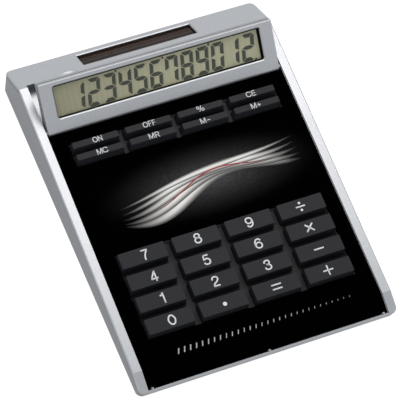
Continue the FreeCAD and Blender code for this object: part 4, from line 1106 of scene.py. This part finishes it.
class CALCULATOR_OT_card(bpy.types.Operator):
    """Prints the card with flowing silver ribbons and a row of dashes"""

    bl_idname = "calculator.card"
    bl_label = "Print the card"

    ribbon_count: IntProperty(
        name="Ribbons", description="How many silver ribbons the card has", default=5, min=2)
    ribbon_width: length_setting("Ribbon width", "Width of the broadest ribbon", 6.5)
    narrowing: FloatProperty(
        name="Narrowing", description="Share of its width that the last ribbon lacks", default=0.62)
    margin: length_setting("Margin", "Card beside the ribbons, both sides together", 22.0)
    shift: length_setting("Shift", "How far the ribbons sit to the right", 4.0)
    pool: lengths_setting("Pool", "Reach of the pool of light behind the ribbons", 48.0, 17.0, 17.0)
    swings: lengths_setting("Swings", "How far the first and the last ribbon swing", 4.62, 0.84)
    waves: FloatProperty(
        name="Waves", description="Swings along the length of a ribbon", default=1.15)
    lag: FloatProperty(
        name="Lag", description="Part of a swing by which the last ribbon runs ahead", default=0.18)
    phase: FloatProperty(
        name="Phase", description="Where in their swing the ribbons are at the middle", subtype="ANGLE",
        default=0.9)
    bluntness: FloatProperty(
        name="Bluntness", description="Power of the taper to a ribbon's ends, blunt where it is low",
        default=0.8, min=0.0)
    rise: length_setting("Rise", "How far the ribbons climb to the right", 9.0)
    spread: length_setting("Spread", "Distance between the first and the last ribbon", 6.0)
    accent_width: length_setting("Accent width", "Width of the red line", 0.5)
    accent_place: FloatProperty(
        name="Accent place", description="Place of the red line between the ribbons", default=0.45)
    accent_length: FloatProperty(
        name="Accent length", description="Length of the red line as a share of a ribbon's", default=0.8)
    ink_film: length_setting("Ink film", "Thickness of the ink", 0.01)
    ink_step: length_setting("Ink step", "How far each ink lies over the one before", 0.012)
    dash_count: IntProperty(
        name="Dashes", description="How many dashes the row has", default=30, min=1)
    dash_size: lengths_setting("Dash size", "Width, height and slant of the first dash", 0.5, 2.2, 0.8)
    dash_shrink: FloatProperty(
        name="Dash shrink", description="Share of the first dash that each next one lacks", default=0.025)
    dash_start: lengths_setting(
        "First dash", "Where the row starts, from the front of the keys", -33.0, -6.5, 0.02)
    dash_pitch: length_setting("Dash pitch", "Distance between dashes", 2.4)

    def execute(self, context):
        look = context.scene.calculator_look
        low, high = extent("insert_card", PANEL)
        front, rear = (corner.y for corner in extent("number_key_frame", PANEL))
        between = (rear + extent("function_key_frame", PANEL)[0].y) / 2.0
        middle = Vector((self.shift, between, high.z))
        dress(printed_card(look, PANEL @ middle, self.pool), "insert_card")
        span = high.x - low.x - self.margin
        silver = ribbon_ink("silver_ink", look.ribbon_colour, 0.1)
        for at in range(self.ribbon_count):
            share = at / (self.ribbon_count - 1)
            width = self.ribbon_width * (1.0 - self.narrowing * share)
            self.ribbon("card_ribbon_%d" % (at + 1), at + 1, middle, span, width, share, silver)
        red = ribbon_ink("red_ink", look.accent_colour, 0.8)
        self.ribbon("card_accent", self.ribbon_count + 1, middle, span * self.accent_length,
                    self.accent_width, self.accent_place, red)
        self.dashes(Vector((0.0, front, high.z)), legend_ink("screen_printed_ink", look.dash_colour))
        return {"FINISHED"}

    def dashes(self, front, ink):
        """A row of slanted dashes before the keys that grow smaller to the right."""
        width, height, slant = self.dash_size
        shape = Matrix(((width, slant, 0.0), (0.0, height, 0.0), (0.0, 0.0, 1.0)))
        bm = bmesh.new()
        for at in range(self.dash_count):
            step = Vector((at * self.dash_pitch, 0.0, 0.0))
            place = Matrix.Translation(front + Vector(self.dash_start) + step)
            size = 1.0 - self.dash_shrink * at
            bmesh.ops.create_grid(
                bm, x_segments=1, y_segments=1, size=0.5, matrix=place @ (shape * size).to_4x4())
        new_piece("card_dashes", thickened(bm, self.ink_film), PANEL, "case", ink)

    def ribbon(self, name, layer, middle, span, width, share, ink):
        """A ribbon that swings along its length and narrows to its ends."""
        bm = bmesh.new()
        chart = bm.loops.layers.uv.new("ribbon")
        bmesh.ops.create_grid(bm, x_segments=80, y_segments=4, size=0.5)
        for face in bm.faces:
            for loop in face.loops:
                loop[chart].uv = loop.vert.co.xy + Vector((0.5, 0.5))
        first, last = self.swings
        reach = first + (last - first) * share
        for vertex in bm.verts:
            along, across = vertex.co.x, vertex.co.y
            swing = math.sin(2.0 * math.pi * (along * self.waves + self.lag * share) + self.phase)
            line = reach * swing + along * self.rise + (share - 0.5) * self.spread
            taper = math.cos(math.pi * along) ** self.bluntness
            vertex.co = (along * span, line + across * width * taper, 0.0)
        place = PANEL @ Matrix.Translation(middle + Vector((0.0, 0.0, layer * self.ink_step)))
        new_piece(name, thickened(bm, self.ink_film), place, "case", ink)


class CALCULATOR_OT_stage(bpy.types.Operator):
    """Sets the floor, the lights and the camera"""

    bl_idname = "calculator.stage"
    bl_label = "Set the stage"

    def execute(self, context):
        stage = context.scene.calculator_stage
        self.lay_floor(stage)
        self.light_room(context.scene, stage)
        below = (*stage.overhead_place[:2], 0.0)
        self.hang_light("overhead_light", stage.overhead, stage.overhead_colour, stage.overhead_size,
                        stage.overhead_place, below)
        self.hang_light("camera_light", stage.fill, linear("#ffffff"), stage.fill_size, stage.fill_place,
                        stage.aim)
        self.place_camera(context.scene, stage)
        context.scene.view_settings.view_transform = "Standard"
        return {"FINISHED"}

    def lay_floor(self, stage):
        """A broad floor of opal sheet, lit from below so that no shadow falls on it."""
        material, tree, place = new_material("opal_acrylic")
        speckle = add_node(tree, "ShaderNodeTexNoise", {}, {
            "Vector": place["Object"], "Scale": per(120.0)})
        even = add_node(tree, "ShaderNodeMapRange", {}, {
            "Value": speckle.outputs["Fac"], "To Min": 0.98, "To Max": 1.0})
        paint = add_node(tree, "ShaderNodeMix", TINTED, {
            "Factor": 1.0, MIX_A: opaque(stage.floor_colour), MIX_B: even.outputs["Result"]})
        shader = add_node(tree, "ShaderNodeBsdfPrincipled", {}, {
            "Base Color": paint.outputs[MIXED], "Roughness": 0.9, "Specular IOR Level": 0.0,
            "Emission Color": socket_colour("#ffffff"), "Emission Strength": stage.glow})
        bm = bmesh.new()
        bmesh.ops.create_grid(bm, x_segments=8, y_segments=8, size=stage.floor_size / 2.0)
        mesh = shaped("floor", bm, IN_PLACE)
        mesh.materials.append(closed(material, shader))
        floor = bpy.data.objects.new("floor", mesh)
        bpy.context.scene.collection.objects.link(floor)

    def light_room(self, scene, stage):
        """A pale room, brighter behind the calculator than in front, dimmer to the left and above."""
        world = bpy.data.worlds.new("studio")
        world.use_nodes = True
        tree = world.node_tree
        tree.nodes.clear()
        way = add_node(tree, "ShaderNodeTexCoord", {}, {})
        axes = add_node(tree, "ShaderNodeSeparateXYZ", {}, {"Vector": way.outputs["Generated"]})
        walls = add_node(tree, "ShaderNodeMapRange", {}, {
            "Value": axes.outputs["Y"], "From Min": -1.0, "From Max": 1.0,
            "To Min": stage.front_wall, "To Max": stage.rear_wall})
        height = add_node(tree, "ShaderNodeMapRange", {}, {
            "Value": axes.outputs["Z"], "To Min": 1.0, "To Max": stage.ceiling})
        sides = add_node(tree, "ShaderNodeMapRange", {}, {
            "Value": axes.outputs["X"], "From Min": -1.0, "From Max": 1.0, "To Min": stage.left_wall,
            "To Max": 1.0})
        upright = add_node(tree, "ShaderNodeMath", TIMES, {
            0: walls.outputs["Result"], 1: sides.outputs["Result"]})
        light = add_node(tree, "ShaderNodeMath", TIMES, {
            0: upright.outputs["Value"], 1: height.outputs["Result"]})
        room = add_node(tree, "ShaderNodeBackground", {}, {
            "Color": socket_colour("#ffffff"), "Strength": light.outputs["Value"]})
        add_node(tree, "ShaderNodeOutputWorld", {}, {"Surface": room.outputs["Background"]})
        scene.world = world

    def hang_light(self, name, power, colour, size, place, aim):
        """A soft light that shines from a place towards an aim."""
        lamp = bpy.data.lights.new(name, "AREA")
        lamp.energy = power
        lamp.color = colour
        lamp.shape = "RECTANGLE"
        lamp.size, lamp.size_y = size
        light = bpy.data.objects.new(name, lamp)
        bpy.context.scene.collection.objects.link(light)
        light.matrix_world = self.aimed(place, aim)

    def place_camera(self, scene, stage):
        """The camera that the picture is taken with."""
        lens = bpy.data.cameras.new("camera")
        lens.lens = stage.lens
        lens.sensor_width = 36.0
        lens.clip_start = 0.01
        camera = bpy.data.objects.new("camera", lens)
        scene.collection.objects.link(camera)
        camera.matrix_world = self.aimed(stage.eye, stage.aim) @ Matrix.Rotation(stage.roll, 4, "Z")
        scene.camera = camera

    def aimed(self, place, aim):
        """The frame of a light or a camera that stands in a place and looks at an aim."""
        turn = (Vector(aim) - Vector(place)).to_track_quat("-Z", "Y").to_matrix().to_4x4()
        return Matrix.Translation(place) @ turn


class CALCULATOR_PT_panel(bpy.types.Panel):
    """Lists the calculator's settings and steps"""

    bl_idname = "CALCULATOR_PT_panel"
    bl_label = "Desk calculator"
    bl_space_type = "VIEW_3D"
    bl_region_type = "UI"
    bl_category = "Calculator"

    def draw(self, context):
        """Draws the settings and then a button for each step."""
        for settings in (context.scene.calculator_look, context.scene.calculator_stage):
            for name in settings.__annotations__:
                self.layout.prop(settings, name)
        for step in STEPS:
            self.layout.operator(step.bl_idname)


STEPS = (
    CALCULATOR_OT_case,
    CALCULATOR_OT_ribbon,
    CALCULATOR_OT_glazing,
    CALCULATOR_OT_solar,
    CALCULATOR_OT_feet,
    CALCULATOR_OT_keys,
    CALCULATOR_OT_legends,
    CALCULATOR_OT_display,
    CALCULATOR_OT_card,
    CALCULATOR_OT_stage,
)
CLASSES = (CalculatorLook, CalculatorStage, *STEPS, CALCULATOR_PT_panel)


def register():
    """Adds the settings, the steps and the panel."""
    for made in CLASSES:
        bpy.utils.register_class(made)
    bpy.types.Scene.calculator_look = PointerProperty(type=CalculatorLook)
    bpy.types.Scene.calculator_stage = PointerProperty(type=CalculatorStage)


def unregister():
    """Takes the panel, the steps and the settings away again."""
    del bpy.types.Scene.calculator_stage
    del bpy.types.Scene.calculator_look
    for made in reversed(CLASSES):
        bpy.utils.unregister_class(made)


def main():
    """Runs every step in order."""
    register()
    bpy.ops.calculator.case()
    bpy.ops.calculator.ribbon()
    bpy.ops.calculator.glazing()
    bpy.ops.calculator.solar()
    bpy.ops.calculator.feet()
    bpy.ops.calculator.keys()
    bpy.ops.calculator.legends()
    bpy.ops.calculator.display()
    bpy.ops.calculator.card()
    bpy.ops.calculator.stage()


if __name__ == "__main__":
    main()
